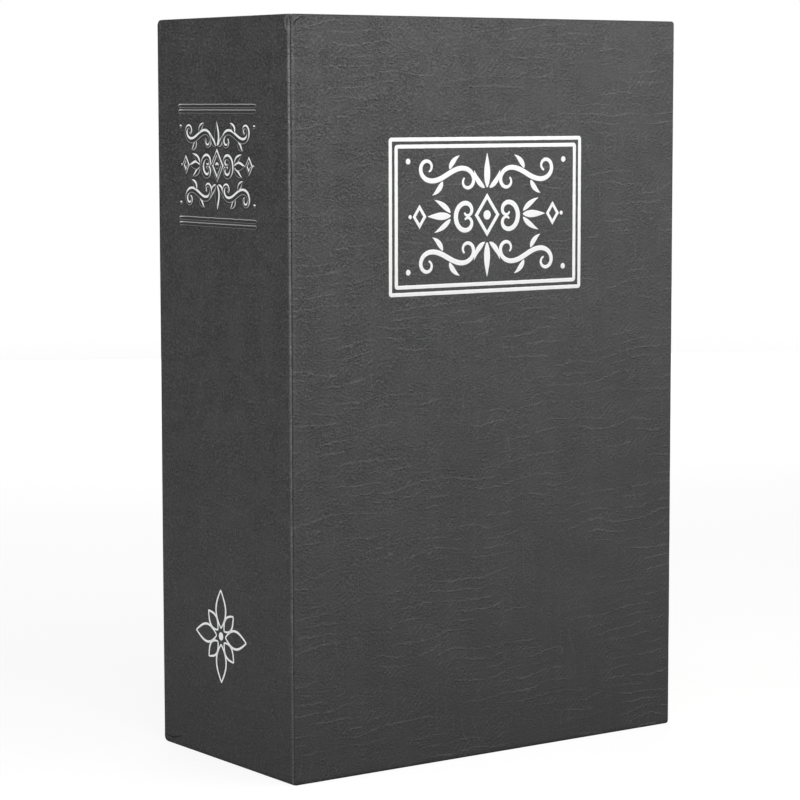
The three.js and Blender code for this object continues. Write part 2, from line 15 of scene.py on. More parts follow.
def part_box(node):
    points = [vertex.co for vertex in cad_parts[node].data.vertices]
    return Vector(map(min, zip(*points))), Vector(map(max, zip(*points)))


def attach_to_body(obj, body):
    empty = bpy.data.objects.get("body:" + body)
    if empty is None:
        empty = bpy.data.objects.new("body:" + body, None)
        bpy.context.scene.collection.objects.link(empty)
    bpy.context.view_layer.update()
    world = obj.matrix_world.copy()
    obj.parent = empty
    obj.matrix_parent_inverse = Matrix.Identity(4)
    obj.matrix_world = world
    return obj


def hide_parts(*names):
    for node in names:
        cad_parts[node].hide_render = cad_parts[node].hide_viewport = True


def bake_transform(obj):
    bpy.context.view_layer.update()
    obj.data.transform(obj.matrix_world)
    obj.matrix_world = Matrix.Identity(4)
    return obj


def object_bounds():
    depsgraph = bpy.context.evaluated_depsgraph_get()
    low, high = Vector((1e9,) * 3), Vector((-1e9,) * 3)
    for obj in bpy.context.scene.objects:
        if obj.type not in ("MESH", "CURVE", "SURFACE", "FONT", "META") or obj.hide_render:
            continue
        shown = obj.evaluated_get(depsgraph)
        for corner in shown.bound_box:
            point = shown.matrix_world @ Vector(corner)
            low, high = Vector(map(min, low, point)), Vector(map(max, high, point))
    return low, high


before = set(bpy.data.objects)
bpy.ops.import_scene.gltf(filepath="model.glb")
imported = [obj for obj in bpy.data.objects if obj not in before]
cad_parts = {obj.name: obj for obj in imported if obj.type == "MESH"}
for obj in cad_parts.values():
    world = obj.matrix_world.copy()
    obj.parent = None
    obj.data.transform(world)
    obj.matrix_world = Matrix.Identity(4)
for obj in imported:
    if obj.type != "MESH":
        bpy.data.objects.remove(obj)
CAD_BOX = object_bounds()

MM = 0.001
PATTERN = "paper"
# The attribute of marks: wear and darker edges, with painted highlight and shade on the paper and painted
# highlight on foil rims.
WEAR_AND_PAINTED_LIGHT = "wear"
WHITE = (1.0, 1.0, 1.0)
QUARTER = math.pi / 2
NO_LENGTH = 1e-12
# Sockets of the colour Mix node, which are numbers because its names repeat.
MIX_SHARE, MIX_FIRST, MIX_SECOND, MIX_RESULT = 0, 6, 7, 2
# Points nearer than the first are merged, and edges shorter than the second are dropped, in metres.
MERGE_M = 2e-6
SLIVER_M = 1e-7
# Paper and foil lie at least this far under the CAD surface, in millimetres.
LEAST_DEPTH = 0.004
log = logging.getLogger("book_safe")

Triple = tuple[float, float, float]
Colour = Triple
Pair = tuple[float, float]
Value = Union[float, Sequence[float], "Wire"]
Owner = Union[bpy.types.Material, bpy.types.World]


class Body(Enum):
    """The bodies that the covering and its tooling ride on."""

    CASE = "root"
    FRONT_COVER = "front_cover"


class Mirror(Enum):
    """Which mirror images of a stroke are stamped, each as its signs across and up."""

    NONE = ((1, 1),)
    SIDES = ((1, 1), (-1, 1))
    ENDS = ((1, 1), (1, -1))
    FOUR_WAYS = ((1, 1), (-1, 1), (1, -1), (-1, -1))


class Wire:
    """A socket inside a finish, so that shader sums are written as Python sums."""

    def __init__(self, recipe: "Recipe", socket: bpy.types.NodeSocket) -> None:
        """Remembers the finish and the socket."""
        self.recipe = recipe
        self.socket = socket

    def __add__(self, other: Value) -> "Wire":
        """This value plus another."""
        return self.recipe.math("ADD", self, other)

    def __radd__(self, other: Value) -> "Wire":
        """Another value plus this one."""
        return self.recipe.math("ADD", other, self)

    def __sub__(self, other: Value) -> "Wire":
        """This value less another."""
        return self.recipe.math("SUBTRACT", self, other)

    def __rsub__(self, other: Value) -> "Wire":
        """Another value less this one."""
        return self.recipe.math("SUBTRACT", other, self)

    def __mul__(self, other: Value) -> "Wire":
        """This value times another."""
        return self.recipe.math("MULTIPLY", self, other)

    def __rmul__(self, other: Value) -> "Wire":
        """Another value times this one."""
        return self.recipe.math("MULTIPLY", other, self)


class Recipe:
    """The node tree of one finish, or of the surroundings."""

    def __init__(self, owner: Owner) -> None:
        """Empties the tree of a new material or world.

        Args:
            owner: The material or world that the nodes are for.
        """
        owner.use_nodes = True
        self.owner = owner
        self.tree = owner.node_tree
        self.tree.nodes.clear()

    def put(self, socket: bpy.types.NodeSocket, value: Value) -> None:
        """Links a wire to a socket, or sets a plain value on it.

        Args:
            socket: The socket that gets it.
            value: A wire, a number, or a colour or vector, which gets a last 1 where the socket wants four.
        """
        if isinstance(value, Wire):
            self.tree.links.new(value.socket, socket)
        elif isinstance(value, (int, float)):
            socket.default_value = value
        else:
            length = len(socket.default_value)
            socket.default_value = tuple(value)[:length] + (1.0,) * (length - len(value))

    def node(
        self,
        kind: str,
        settings: Optional[dict] = None,
        values: Optional[dict] = None,
        output: Union[int, str] = 0,
    ) -> Wire:
        """Adds a node.

        Args:
            kind: The node's type.
            settings: Its own settings, set first.
            values: Values or wires by socket name or number.
            output: Name or number of the wanted output.

        Returns:
            The wanted output.
        """
        made = self.tree.nodes.new(kind)
        for key, value in (settings or {}).items():
            setattr(made, key, value)
        for key, value in (values or {}).items():
            self.put(made.inputs[key], value)
        return Wire(self, made.outputs[output])

    def math(self, operation: str, *values: Value) -> Wire:
        """One step of arithmetic on plain values."""
        return self.node("ShaderNodeMath", {"operation": operation}, dict(enumerate(values)))

    def vector(self, operation: str, *values: Value) -> Wire:
        """One step of arithmetic on vectors."""
        return self.node("ShaderNodeVectorMath", {"operation": operation}, dict(enumerate(values)))

    def measure(self, operation: str, *values: Value) -> Wire:
        """A number worked out from vectors, such as a length or a dot product."""
        return self.node("ShaderNodeVectorMath", {"operation": operation}, dict(enumerate(values)), "Value")

    def part(self, vector: Wire, axis: str) -> Wire:
        """One coordinate of a vector."""
        return self.node("ShaderNodeSeparateXYZ", None, {"Vector": vector}, axis)

    def scale(self, vector: Wire, factor: float) -> Wire:
        """A vector times one number."""
        return self.node("ShaderNodeVectorMath", {"operation": "SCALE"}, {0: vector, "Scale": factor})

    def ramp(self, value: Value, low: float, high: float, start: float = 0.0, end: float = 1.0) -> Wire:
        """Smooth step from start to end while the value goes from low to high."""
        limits = {"Value": value, "From Min": low, "From Max": high, "To Min": start, "To Max": end}
        return self.node("ShaderNodeMapRange", {"interpolation_type": "SMOOTHSTEP", "clamp": True}, limits)

    def blend(self, share: Value, first: Value, second: Value) -> Wire:
        """Colour between two colours."""
        values = {MIX_SHARE: share, MIX_FIRST: first, MIX_SECOND: second}
        return self.node("ShaderNodeMix", {"data_type": "RGBA"}, values, MIX_RESULT)

    def noise(self, at: Wire, scale: float, detail: float = 2.0, rough: float = 0.5) -> Wire:
        """Cloud noise from 0 to 1 at a place in millimetres, with that many features a millimetre."""
        values = {"Vector": at, "Scale": scale, "Detail": detail, "Roughness": rough}
        return self.node("ShaderNodeTexNoise", None, values)

    def drift(self, at: Wire, scale: float, reach: float) -> Wire:
        """The place moved up to half the reach, in millimetres, by slow colour noise."""
        noise = self.node("ShaderNodeTexNoise", None, {"Vector": at, "Scale": scale, "Detail": 2.0}, "Color")
        return self.vector("ADD", at, self.scale(self.vector("SUBTRACT", noise, (0.5, 0.5, 0.5)), reach))

    def place(self) -> Wire:
        """Place on the object in millimetres."""
        return self.scale(self.node("ShaderNodeTexCoord", None, None, "Object"), 1 / MM)

    def attribute(self, name: str, output: str) -> Wire:
        """An attribute of the mesh, of which the outputs Vector and Fac are used."""
        return self.node("ShaderNodeAttribute", {"attribute_name": name}, None, output)

    def bump(self, height: Wire) -> Wire:
        """Relief of a height given in millimetres."""
        return self.node("ShaderNodeBump", None, {"Strength": 1.0, "Distance": MM, "Height": height})

    def coat(self, **sockets: Value) -> Wire:
        """The main surface shader; its sockets are named with underscores for spaces."""
        values = {name.replace("_", " "): value for name, value in sockets.items()}
        return self.node("ShaderNodeBsdfPrincipled", None, values)

    def mix(self, share: Wire, first: Wire, second: Wire) -> Wire:
        """Shader between two shaders."""
        return self.node("ShaderNodeMixShader", None, {0: share, 1: first, 2: second})

    def finish(self, shader: Wire, output: str = "ShaderNodeOutputMaterial") -> Owner:
        """The material or world, finished by linking a shader to its output."""
        self.put(self.tree.nodes.new(output).inputs[0], shader)
        return self.owner

    def surface(self, **sockets: Value) -> bpy.types.Material:
        """The finished material of one main surface shader, with its sockets named as for coat."""
        return self.finish(self.coat(**sockets))


def shade(colour: Colour, factor: float) -> Colour:
    """A colour made lighter or darker."""
    return tuple(factor * part for part in colour)


@dataclass(frozen=True)
class Finish:
    """A finish of the book; each kind of finish makes its own material."""

    name: str

    def recipe(self) -> Recipe:
        """An empty node tree for a new material with the finish's name."""
        return Recipe(bpy.data.materials.new(self.name))

    def make(self) -> bpy.types.Material:
        """The finished material."""
        raise NotImplementedError


@dataclass(frozen=True)
class LineSet:
    """One set of thin embossed lines of the cover paper: how they run, how long they are and how strong.

    across is their phase in radians a millimetre along the sheet's axes, lengths draws out the noise that
    cuts them to length, thin is the level of the sine above which a line stands, spread is the band of slow
    noise in which a group fades in, shift moves the set's noises away from those of the other sets, and
    patches is how many groups there are a millimetre.
    """

    across: Triple
    lengths: Triple
    thin: float
    spread: Pair
    shift: Triple
    height_mm: float
    # How pale the lines' crests are painted, as a highlight of their tops.
    tone: float
    patches: float = 0.08

    def lines(self, r: Recipe, at: Wire) -> Wire:
        """Lines side by side, like those of a hand.

        They are the crests of a sine across the grain, whose phase sways with slow noise and shakes a
        little with fine noise; drawn-out noise cuts them to length, and slow noise keeps them in groups.

        Args:
            r: The finish's node tree.
            at: Place on the sheet.

        Returns:
            1 on a line and 0 between the lines.
        """
        moved = r.vector("ADD", at, self.shift)
        phase = r.measure("DOT_PRODUCT", at, self.across)
        sway = r.noise(moved, 0.06, 1.0, 0.4) * 17.0 + r.noise(moved, 0.7, 3.0, 0.6) * 4.2
        crest = r.ramp(r.math("SINE", phase + sway), self.thin, 1.0)
        lengths = r.ramp(r.noise(r.vector("MULTIPLY", moved, self.lengths), 0.4, 2.0, 0.6), 0.42, 0.56)
        drawn_out = r.vector("MULTIPLY", moved, (0.4, 1.0, 1.0))
        groups = r.ramp(r.noise(drawn_out, self.patches, 1.0, 0.5), *self.spread)
        return crest * lengths * groups


@dataclass(frozen=True)
class Pleat:
    """A fold of the paper at a corner: a ridge along part of a circle, painted pale as a highlight, with a
    furrow inside it painted dark as shade.

    facing is the heading of that part in degrees, and narrow holds the cosines of the angles from it
    between which the fold fades in. Lengths are in millimetres; pale and dark are the shares of painted
    highlight on the ridge and of painted shade in the furrow.
    """

    centre: Pair
    radius: float
    facing: float
    width: float = 0.24
    height_mm: float = 0.14
    furrow_mm: float = 0.22
    inward: float = 1.7
    pale: float = 0.35
    dark: float = 0.8
    narrow: Pair = (0.72, 0.93)

    def parts(self, r: Recipe, at: Wire) -> tuple[Wire, Wire]:
        """The fold, on the side of the circle that faces the given heading.

        The ridge lies where the distance from the circle's centre is its radius, made a little uneven by
        noise, and the furrow lies inward by some widths of the ridge.

        Args:
            r: The finish's node tree.
            at: Place on the sheet.

        Returns:
            Ridge and furrow, each from 0 to 1.
        """
        flat = r.vector("MULTIPLY", at, (1.0, 1.0, 0.0))
        out = r.vector("SUBTRACT", flat, (*self.centre, 0.0))
        turn = math.radians(self.facing)
        faced = r.measure("DOT_PRODUCT", r.vector("NORMALIZE", out), (math.cos(turn), math.sin(turn), 0.0))
        share = r.ramp(faced, *self.narrow)
        uneven = r.measure("LENGTH", out) + (r.noise(at, 1.1, 2.0) - 0.5) * 0.35
        inner = self.radius - self.inward * self.width
        ridge = r.ramp(r.math("ABSOLUTE", uneven - self.radius), self.width, 0.0)
        furrow = r.ramp(r.math("ABSOLUTE", uneven - inner), self.width, 0.0)
        return ridge * share, furrow * share


@dataclass(frozen=True)
class CoverPaper(Finish):
    """Embossed grey book covering: patches of pebbles, with groups of long thin lines over them.

    The wear attribute of the sheet is positive where an edge is worn pale and painted as a highlight, and
    negative where it is darker or painted as shade. deeper_at_head and deeper_at_edge are how many times
    deeper the grain is there, and edge_highlight is how much paler than the pale crests such an edge is
    painted.
    """

    sets: tuple[LineSet, ...]
    pleats: tuple[Pleat, ...]
    speck: float
    # How dark the foot of the sheet is painted, as shade near the floor.
    foot_shade: float
    colour: Colour = (0.0875, 0.0875, 0.088)
    # The next two colours: the pale of wear and of painted highlight, and the dark of painted shade and of
    # darker edges.
    worn_and_lit: Colour = (0.222, 0.222, 0.223)
    dark_tone: Colour = (0.0408, 0.0408, 0.0413)
    pebble_mm: float = 0.44
    stroke_mm: float = 0.12
    slant_deg: float = -48.0
    deeper_at_head: float = 2.1
    deeper_at_edge: float = 1.0
    edge_highlight: float = 1.4
    roughness: float = 0.68

    def along(self, r: Recipe, at: Wire) -> Wire:
        """Distance from the crease along the sheet in millimetres."""
        return r.part(at, "X")

    def up(self, r: Recipe, at: Wire) -> Wire:
        """Height above the tail in millimetres."""
        return r.part(at, "Y")

    def grain(self, r: Recipe, at: Wire) -> Wire:
        """The embossing: pebbles from fine noise, and strokes from noise drawn out along a slant.

        Each is stronger in patches, and the whole embossing is a little deeper towards the head and, where
        deeper_at_edge is under 1, shallower towards the edge that is far from the crease.

        Args:
            r: The finish's node tree.
            at: Place on the sheet.

        Returns:
            Its height in millimetres, about zero.
        """
        moved = r.drift(at, 0.3, 1.8)
        pebbles = r.noise(moved, 1.75, 2.0, 0.65) - 0.5
        slant = math.radians(self.slant_deg)
        turned = r.node("ShaderNodeVectorRotate", None, {"Vector": moved, "Angle": slant})
        strokes = r.noise(r.vector("MULTIPLY", turned, (0.28, 1.0, 1.0)), 1.7, 1.0, 0.5) - 0.5
        rough = r.ramp(r.noise(at, 0.14, 2.0, 0.5), 0.38, 0.6, 0.6, 1.0)
        slanting = r.ramp(r.noise(at, 0.09, 2.0, 0.6), 0.42, 0.6, 0.15, 1.0)
        deeper = r.ramp(self.up(r, at), -60.0, 200.0, 0.7, self.deeper_at_head)
        at_edge = r.ramp(self.along(r, at), 0.0, BOOK_WIDTH, 1.0, self.deeper_at_edge)
        return (pebbles * rough * self.pebble_mm + strokes * slanting * self.stroke_mm) * deeper * at_edge

    def marks(self, r: Recipe, at: Wire, grain: Wire) -> tuple[Wire, Value, Value]:
        """Adds the lines and the pleats to the grain.

        Args:
            r: The finish's node tree.
            at: Place on the sheet.
            grain: Height of the grain in millimetres.

        Returns:
            The whole relief in millimetres, how pale its crests are painted as highlight, and how dark its
            furrows are painted as shade.
        """
        relief, crests, furrows = grain, 0.0, 0.0
        for line_set in self.sets:
            lines = line_set.lines(r, at)
            relief = relief + lines * line_set.height_mm
            # The lines' crests are painted pale, as a highlight.
            crests = lines * line_set.tone + crests
        for pleat in self.pleats:
            ridge, furrow = pleat.parts(r, at)
            relief = relief + ridge * pleat.height_mm - furrow * pleat.furrow_mm
            # A pleat's ridge is painted pale as a highlight, and its furrow dark as shade.
            crests = ridge * pleat.pale + crests
            furrows = furrow * pleat.dark + furrows
        return relief, crests, furrows

    def make(self) -> bpy.types.Material:
        """Builds the finish on the sheet's own coordinates, in millimetres.

        Slow clouds and upright streaks come first. Low grain and furrows darken them as painted shade in the
        hollows, and the foot and the tail as painted shade near the floor. Raised grain is painted pale as
        wear and as highlight, crests as painted highlight, specks as wear, and the marks of the edges come
        last.

        Returns:
            The finished material.
        """
        r = self.recipe()
        at = r.attribute(PATTERN, "Vector")
        grain = self.grain(r, at)
        relief, crests, furrows = self.marks(r, at, grain)
        streaks = r.noise(r.vector("MULTIPLY", at, (1.0, 0.03, 1.0)), 0.3, 2.0)
        clouds = r.noise(at, 0.05, 3.0, 0.55) + streaks * 0.6
        flat = r.blend(r.ramp(clouds, 0.5, 1.1), shade(self.colour, 0.94), shade(self.colour, 1.06))
        # Painted shade: darker towards the foot, and darkest at the very tail, where the book meets the
        # floor.
        shade_at_foot = r.ramp(self.up(r, at), 45.0, -5.0, 0.0, self.foot_shade)
        tail = r.ramp(self.up(r, at), 1.4, 0.3, 0.0, 0.4)
        # The hollows of the grain are painted darker, as shade.
        low = r.ramp(grain, -0.01, -0.15, 0.0, 0.32)
        grained = r.blend(low + furrows + shade_at_foot + tail, flat, self.dark_tone)
        specks = r.ramp(r.noise(at, 2.6, 1.0, 0.5), 0.72, 0.78, 0.0, self.speck)
        # Raised grain is painted paler, as wear and as highlight.
        raised = r.ramp(grain, 0.01, 0.15, 0.0, 0.28)
        crested = r.blend(raised + crests + specks, grained, self.worn_and_lit)
        wear = r.attribute(WEAR_AND_PAINTED_LIGHT, "Fac")
        patchy = r.noise(at, 0.8, 3.0, 0.65) + 0.5
        # Positive marks paint an edge paler than the crests: wear at the crease, and a painted highlight
        # where its nose catches the light.
        pale = r.blend(r.ramp(wear * patchy, 0.05, 1.0), crested, shade(self.worn_and_lit, self.edge_highlight))
        # Negative marks paint an edge dark: the darker square edges, and painted shade deep in the crease.
        return r.surface(
            Base_Color=r.blend(r.ramp(wear, -0.1, -0.9, 0.0, 0.9), pale, self.dark_tone),
            Roughness=r.ramp(relief, -0.05, 0.08, self.roughness + 0.05, self.roughness - 0.1),
            Normal=r.bump(relief),
            Specular_IOR_Level=0.06,
        )


@dataclass(frozen=True)
class Foil(Finish):
    """Stamped foil: a flat stroke whose rim is painted bright as a highlight, with specks where the grain
    shows through.
    """

    fill: Colour
    rim: Colour
    metallic: float
    roughness: float = 0.4
    speckle: float = 0.2

    def make(self) -> bpy.types.Material:
        """Builds the finish; the wear attribute is 1 on a rim painted bright as a highlight and 0 on the
        flat.

        Returns:
            The finished material.
        """
        r = self.recipe()
        at = r.place()
        grain = r.noise(at, 2.2, 3.0, 0.6)
        specks = r.ramp(grain, 0.6, 0.78, 0.0, self.speckle)
        # Rims are painted bright as a highlight; on silver foil the flat is painted dark as a reflection.
        base = r.blend(r.attribute(WEAR_AND_PAINTED_LIGHT, "Fac"), self.fill, self.rim)
        return r.surface(
            Base_Color=r.blend(specks, base, shade(self.fill, 0.45)),
            Roughness=r.ramp(grain, 0.3, 0.7, self.roughness, self.roughness + 0.12),
            Metallic=self.metallic,
            Normal=r.bump(grain * 0.02),
            Specular_IOR_Level=0.12,
        )


@dataclass(frozen=True)
class PlainPaper(Finish):
    """Uncoated paper or board with fibres."""

    colour: Colour
    fibre: Colour
    roughness: float

    def make(self) -> bpy.types.Material:
        """Builds the finish on the object's own coordinates.

        Returns:
            The finished material.
        """
        r = self.recipe()
        at = r.place()
        fibres = r.noise(r.vector("MULTIPLY", r.drift(at, 0.3, 1.5), (1.0, 1.0, 0.22)), 2.4, 4.0, 0.65)
        clouds = r.noise(at, 0.12, 3.0, 0.5)
        mottled = r.blend(r.ramp(clouds, 0.3, 0.7), shade(self.colour, 0.86), self.colour)
        return r.surface(
            Base_Color=r.blend(r.ramp(fibres, 0.45, 0.8), mottled, self.fibre),
            Roughness=r.ramp(fibres, 0.3, 0.7, self.roughness, self.roughness - 0.08),
            Normal=r.bump(fibres * 0.04),
            Specular_IOR_Level=0.3,
        )


@dataclass(frozen=True)
class MouldedPages(Finish):
    """Cream plastic moulded and printed to look like the edges of pages."""

    colour: Colour
    shadow: Colour
    leaf_line: Colour
    front_mm: float

    def make(self) -> bpy.types.Material:
        """Builds page lines that run round the block at constant depth, uneven along their length.

        The frame's flat front face has none: the lines begin just behind it.

        Returns:
            The finished material.
        """
        r = self.recipe()
        at = r.place()
        printed = r.ramp(r.part(at, "Y"), self.front_mm + 0.05, self.front_mm + 0.25)
        swayed = r.drift(at, 0.025, 0.5)
        leaves = r.noise(r.vector("MULTIPLY", swayed, (0.012, 5.2, 0.012)), 1.0, 3.0, 0.7)
        gatherings = r.noise(r.vector("MULTIPLY", swayed, (0.006, 0.5, 0.006)), 1.0, 1.0, 0.5)
        flow = r.noise(at, 0.03, 3.0, 0.5)
        dust = r.noise(at, 1.4, 3.0, 0.6)
        toned = r.blend(r.ramp(flow, 0.4, 0.75, 0.0, 0.3), self.colour, self.shadow)
        gathered = r.blend(r.ramp(gatherings, 0.5, 0.62, 0.0, 0.4) * printed, toned, self.shadow)
        lined = r.blend(r.ramp(leaves, 0.5, 0.66, 0.0, 0.75) * printed, gathered, self.leaf_line)
        return r.surface(
            Base_Color=lined,
            Roughness=r.ramp(dust, 0.3, 0.7, 0.42, 0.58),
            Normal=r.bump(dust * 0.02 - leaves * printed * 0.06),
            Specular_IOR_Level=0.3,
        )


@dataclass(frozen=True)
class PowderCoat(Finish):
    """Black powder coat on steel, with a fine orange-peel skin."""

    colour: Colour
    dust: Colour

    def make(self) -> bpy.types.Material:
        """Builds the finish on the object's own coordinates.

        Returns:
            The finished material.
        """
        r = self.recipe()
        at = r.place()
        skin = r.noise(at, 1.6, 2.0, 0.5)
        specks = r.noise(at, 6.0, 2.0, 0.6)
        handling = r.noise(at, 0.06, 4.0, 0.6)
        return r.surface(
            Base_Color=r.blend(r.ramp(handling, 0.45, 0.8, 0.0, 0.4), self.colour, self.dust),
            Roughness=r.ramp(handling, 0.3, 0.7, 0.4, 0.52),
            Normal=r.bump(skin * 0.05 + specks * 0.012),
        )


@dataclass(frozen=True)
class Plated(Finish):
    """Plated or bare metal with fine turning or brushing marks."""

    colour: Colour
    dull: Colour
    roughness: float
    brush: Triple

    def make(self) -> bpy.types.Material:
        """Builds the finish; brush scales the marks' noise along each axis, so a small one draws them out.

        Returns:
            The finished material.
        """
        r = self.recipe()
        at = r.place()
        marks = r.noise(r.vector("MULTIPLY", at, self.brush), 6.0, 3.0, 0.6)
        stains = r.noise(at, 0.45, 3.0, 0.55)
        return r.surface(
            Base_Color=r.blend(r.ramp(stains, 0.4, 0.75, 0.0, 0.55), self.colour, self.dull),
            Metallic=1.0,
            Roughness=r.ramp(marks, 0.3, 0.7, self.roughness, self.roughness + 0.14),
            Normal=r.bump(marks * 0.008),
        )


BOOK_WIDTH, BACK_EDGE, BOOK_HEIGHT = ((high - low) / MM for low, high in zip(*CAD_BOX))
PAGE_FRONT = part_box("page_frame")[0][1] / MM

WRINKLES = LineSet(
    across=(-0.13, 2.5, 0.0), lengths=(0.2, 1.0, 1.0), thin=0.78, spread=(0.42, 0.54),
    shift=(0.0, 0.0, 0.0), height_mm=0.09, tone=0.25,
)
UPRIGHTS = LineSet(
    across=(2.4, 0.2, 0.0), lengths=(1.0, 0.5, 1.0), thin=0.84, spread=(0.48, 0.58),
    shift=(70.0, 31.0, 0.0), height_mm=0.06, tone=0.13, patches=0.12,
)
SLANTS = LineSet(
    across=(-4.1, 3.8, 0.0), lengths=(0.8, 0.8, 1.0), thin=0.5, spread=(0.5, 0.58),
    shift=(12.0, 140.0, 0.0), height_mm=0.07, tone=0.2, patches=0.2,
)
FRONT_LINES = (WRINKLES, UPRIGHTS, SLANTS)
CASE_LINES = (
    replace(WRINKLES, shift=(33.0, 9.0, 0.0), tone=0.02),
    replace(
        UPRIGHTS, lengths=(1.0, 0.4, 1.0), thin=0.8, spread=(0.42, 0.54), shift=(50.0, 71.0, 0.0),
        tone=0.03, patches=0.1,
    ),
    replace(SLANTS, spread=(0.48, 0.57), shift=(92.0, 40.0, 0.0), height_mm=0.06, tone=0.04),
)
# Each pleat is a bump with its ridge painted pale as a highlight and its furrow dark as shade.
FRONT_PLEATS = (Pleat((3.8, BOOK_HEIGHT - 4.3), radius=3.9, facing=125.0),)
CASE_PLEATS = (
    Pleat(
        (0.35, BOOK_HEIGHT - 1.9), radius=1.95, facing=0.0, width=0.6, furrow_mm=0.1, pale=1.0, dark=0.2,
        narrow=(0.1, 0.45),
    ),
    Pleat((BACK_EDGE + 0.4, BOOK_HEIGHT - 2.4), radius=2.5, facing=165.0, width=0.4, pale=0.4, dark=0.4),
    Pleat((BACK_EDGE - 4.0, 12.0), radius=10.9, facing=-80.0, width=0.3, height_mm=0.0, pale=0.0),
    Pleat((BACK_EDGE - 12.0, BOOK_HEIGHT + 6.2), radius=7.0, facing=-95.0, pale=0.15, dark=0.5),
)

FRONT_PAPER = CoverPaper(
    "front_paper", FRONT_LINES, FRONT_PLEATS, speck=0.5, foot_shade=0.21, deeper_at_edge=0.62,
)
CASE_PAPER = CoverPaper(
    "case_paper", CASE_LINES, CASE_PLEATS, speck=0.25, foot_shade=0.43, pebble_mm=0.58, deeper_at_head=2.6,
)
WHITE_FOIL = Foil(
    "white_foil", fill=(0.93, 0.93, 0.925), rim=(0.95, 0.95, 0.95), metallic=0.0, roughness=0.42,
    speckle=0.3,
)
# Silver foil is painted as its reflections: a dark flat for the dark surroundings, and bright rims as
# highlight.
SILVER_FOIL = Foil("silver_foil", fill=(0.022, 0.022, 0.023), rim=(0.95, 0.95, 0.955), metallic=0.35)
BRIGHT_FOIL = Foil("bright_foil", fill=(0.94, 0.94, 0.94), rim=(0.95, 0.95, 0.955), metallic=0.45)
ENDPAPER = PlainPaper(
    "black_endpaper", colour=(0.022, 0.022, 0.023), fibre=(0.045, 0.045, 0.046), roughness=0.85,
)
GREYBOARD = PlainPaper("greyboard", colour=(0.23, 0.215, 0.185), fibre=(0.34, 0.32, 0.28), roughness=0.95)
PAGES = MouldedPages(
    "moulded_pages", colour=(0.76, 0.70, 0.55), shadow=(0.66, 0.58, 0.43), leaf_line=(0.44, 0.38, 0.27),
    front_mm=PAGE_FRONT,
)
BLACK_STEEL = PowderCoat("black_powder_coat", colour=(0.014, 0.014, 0.015), dust=(0.04, 0.04, 0.04))
BRIGHT_STEEL = Plated(
    "zinc_plated_steel", colour=(0.58, 0.59, 0.58), dull=(0.40, 0.39, 0.36), roughness=0.28,
    brush=(1.0, 1.0, 0.15),
)
LOCK_PLATING = Plated(
    "lock_plating", colour=(0.70, 0.71, 0.73), dull=(0.52, 0.52, 0.53), roughness=0.12,
    brush=(0.3, 1.0, 0.3),
)
WAFER_BRASS = Plated(
    "wafer_brass", colour=(0.62, 0.42, 0.14), dull=(0.42, 0.27, 0.09), roughness=0.3,
    brush=(1.0, 1.0, 0.2),
)


@dataclass(frozen=True)
class Carried:
    """A sub-assembly whose nodes are carried over from the CAD model, with the finish of each node."""

    name: str
    finishes: tuple[tuple[Finish, tuple[str, ...]], ...]

    def dress(self) -> None:
        """Gives every node its finish; a finish that another sub-assembly has too is made only once."""
        for finish, nodes in self.finishes:
            material = bpy.data.materials.get(finish.name) or finish.make()
            for name in nodes:
                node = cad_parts[name]
                node.data.materials.clear()
                node.data.materials.append(material)
                log.info("%s of the %s is finished in %s", name, self.name, material.name)


BOARDS = Carried("boards", (
    (ENDPAPER, ("back_endpaper", "front_endpaper")),
    (GREYBOARD, ("spine_board", "back_board", "front_board")),
))
PAGE_BLOCK = Carried("page block", ((PAGES, ("page_frame",)),))
STEEL_BOX = Carried("steel box", (
    (BLACK_STEEL, ("safe_tray", "door_panel")),
    (BRIGHT_STEEL, ("strike_plate", "hinge_pin_upper", "hinge_pin_lower")),
    (BRIGHT_STEEL, tuple(f"tray_screw_{number}" for number in range(1, 5))),
))
CAM_LOCK = Carried("cam lock", (
    (LOCK_PLATING, ("lock_housing", "lock_plug")),
    (BRIGHT_STEEL, ("lock_washer", "lock_nut", "lock_cam", "cam_washer", "cam_screw")),
    (WAFER_BRASS, tuple(f"lock_wafer_{number}" for number in range(1, 6))),
))


def unit(values: np.ndarray) -> np.ndarray:
    """Rows divided by their length."""
    return values / np.maximum(np.linalg.norm(values, axis=-1, keepdims=True), NO_LENGTH)


def grid_faces(
    rows: int,
    columns: int,
    closed_rows: bool = False,
    closed_columns: bool = False,
) -> np.ndarray:
    """Four-cornered faces of a grid of points.

    Args:
        rows: Points along the first parameter.
        columns: Points along the second.
        closed_rows: Whether the last row joins the first.
        closed_columns: Whether the last column joins the first.

    Returns:
        An array of four point numbers a face.
    """
    i = np.arange(rows if closed_rows else rows - 1)
    j = np.arange(columns if closed_columns else columns - 1)
    ii, jj = np.meshgrid(i, j, indexing="ij")
    i2 = (ii + 1) % rows
    j2 = (jj + 1) % columns
    quads = np.stack([ii * columns + jj, ii * columns + j2, i2 * columns + j2, i2 * columns + jj], axis=-1)
    return quads.reshape(-1, 4)


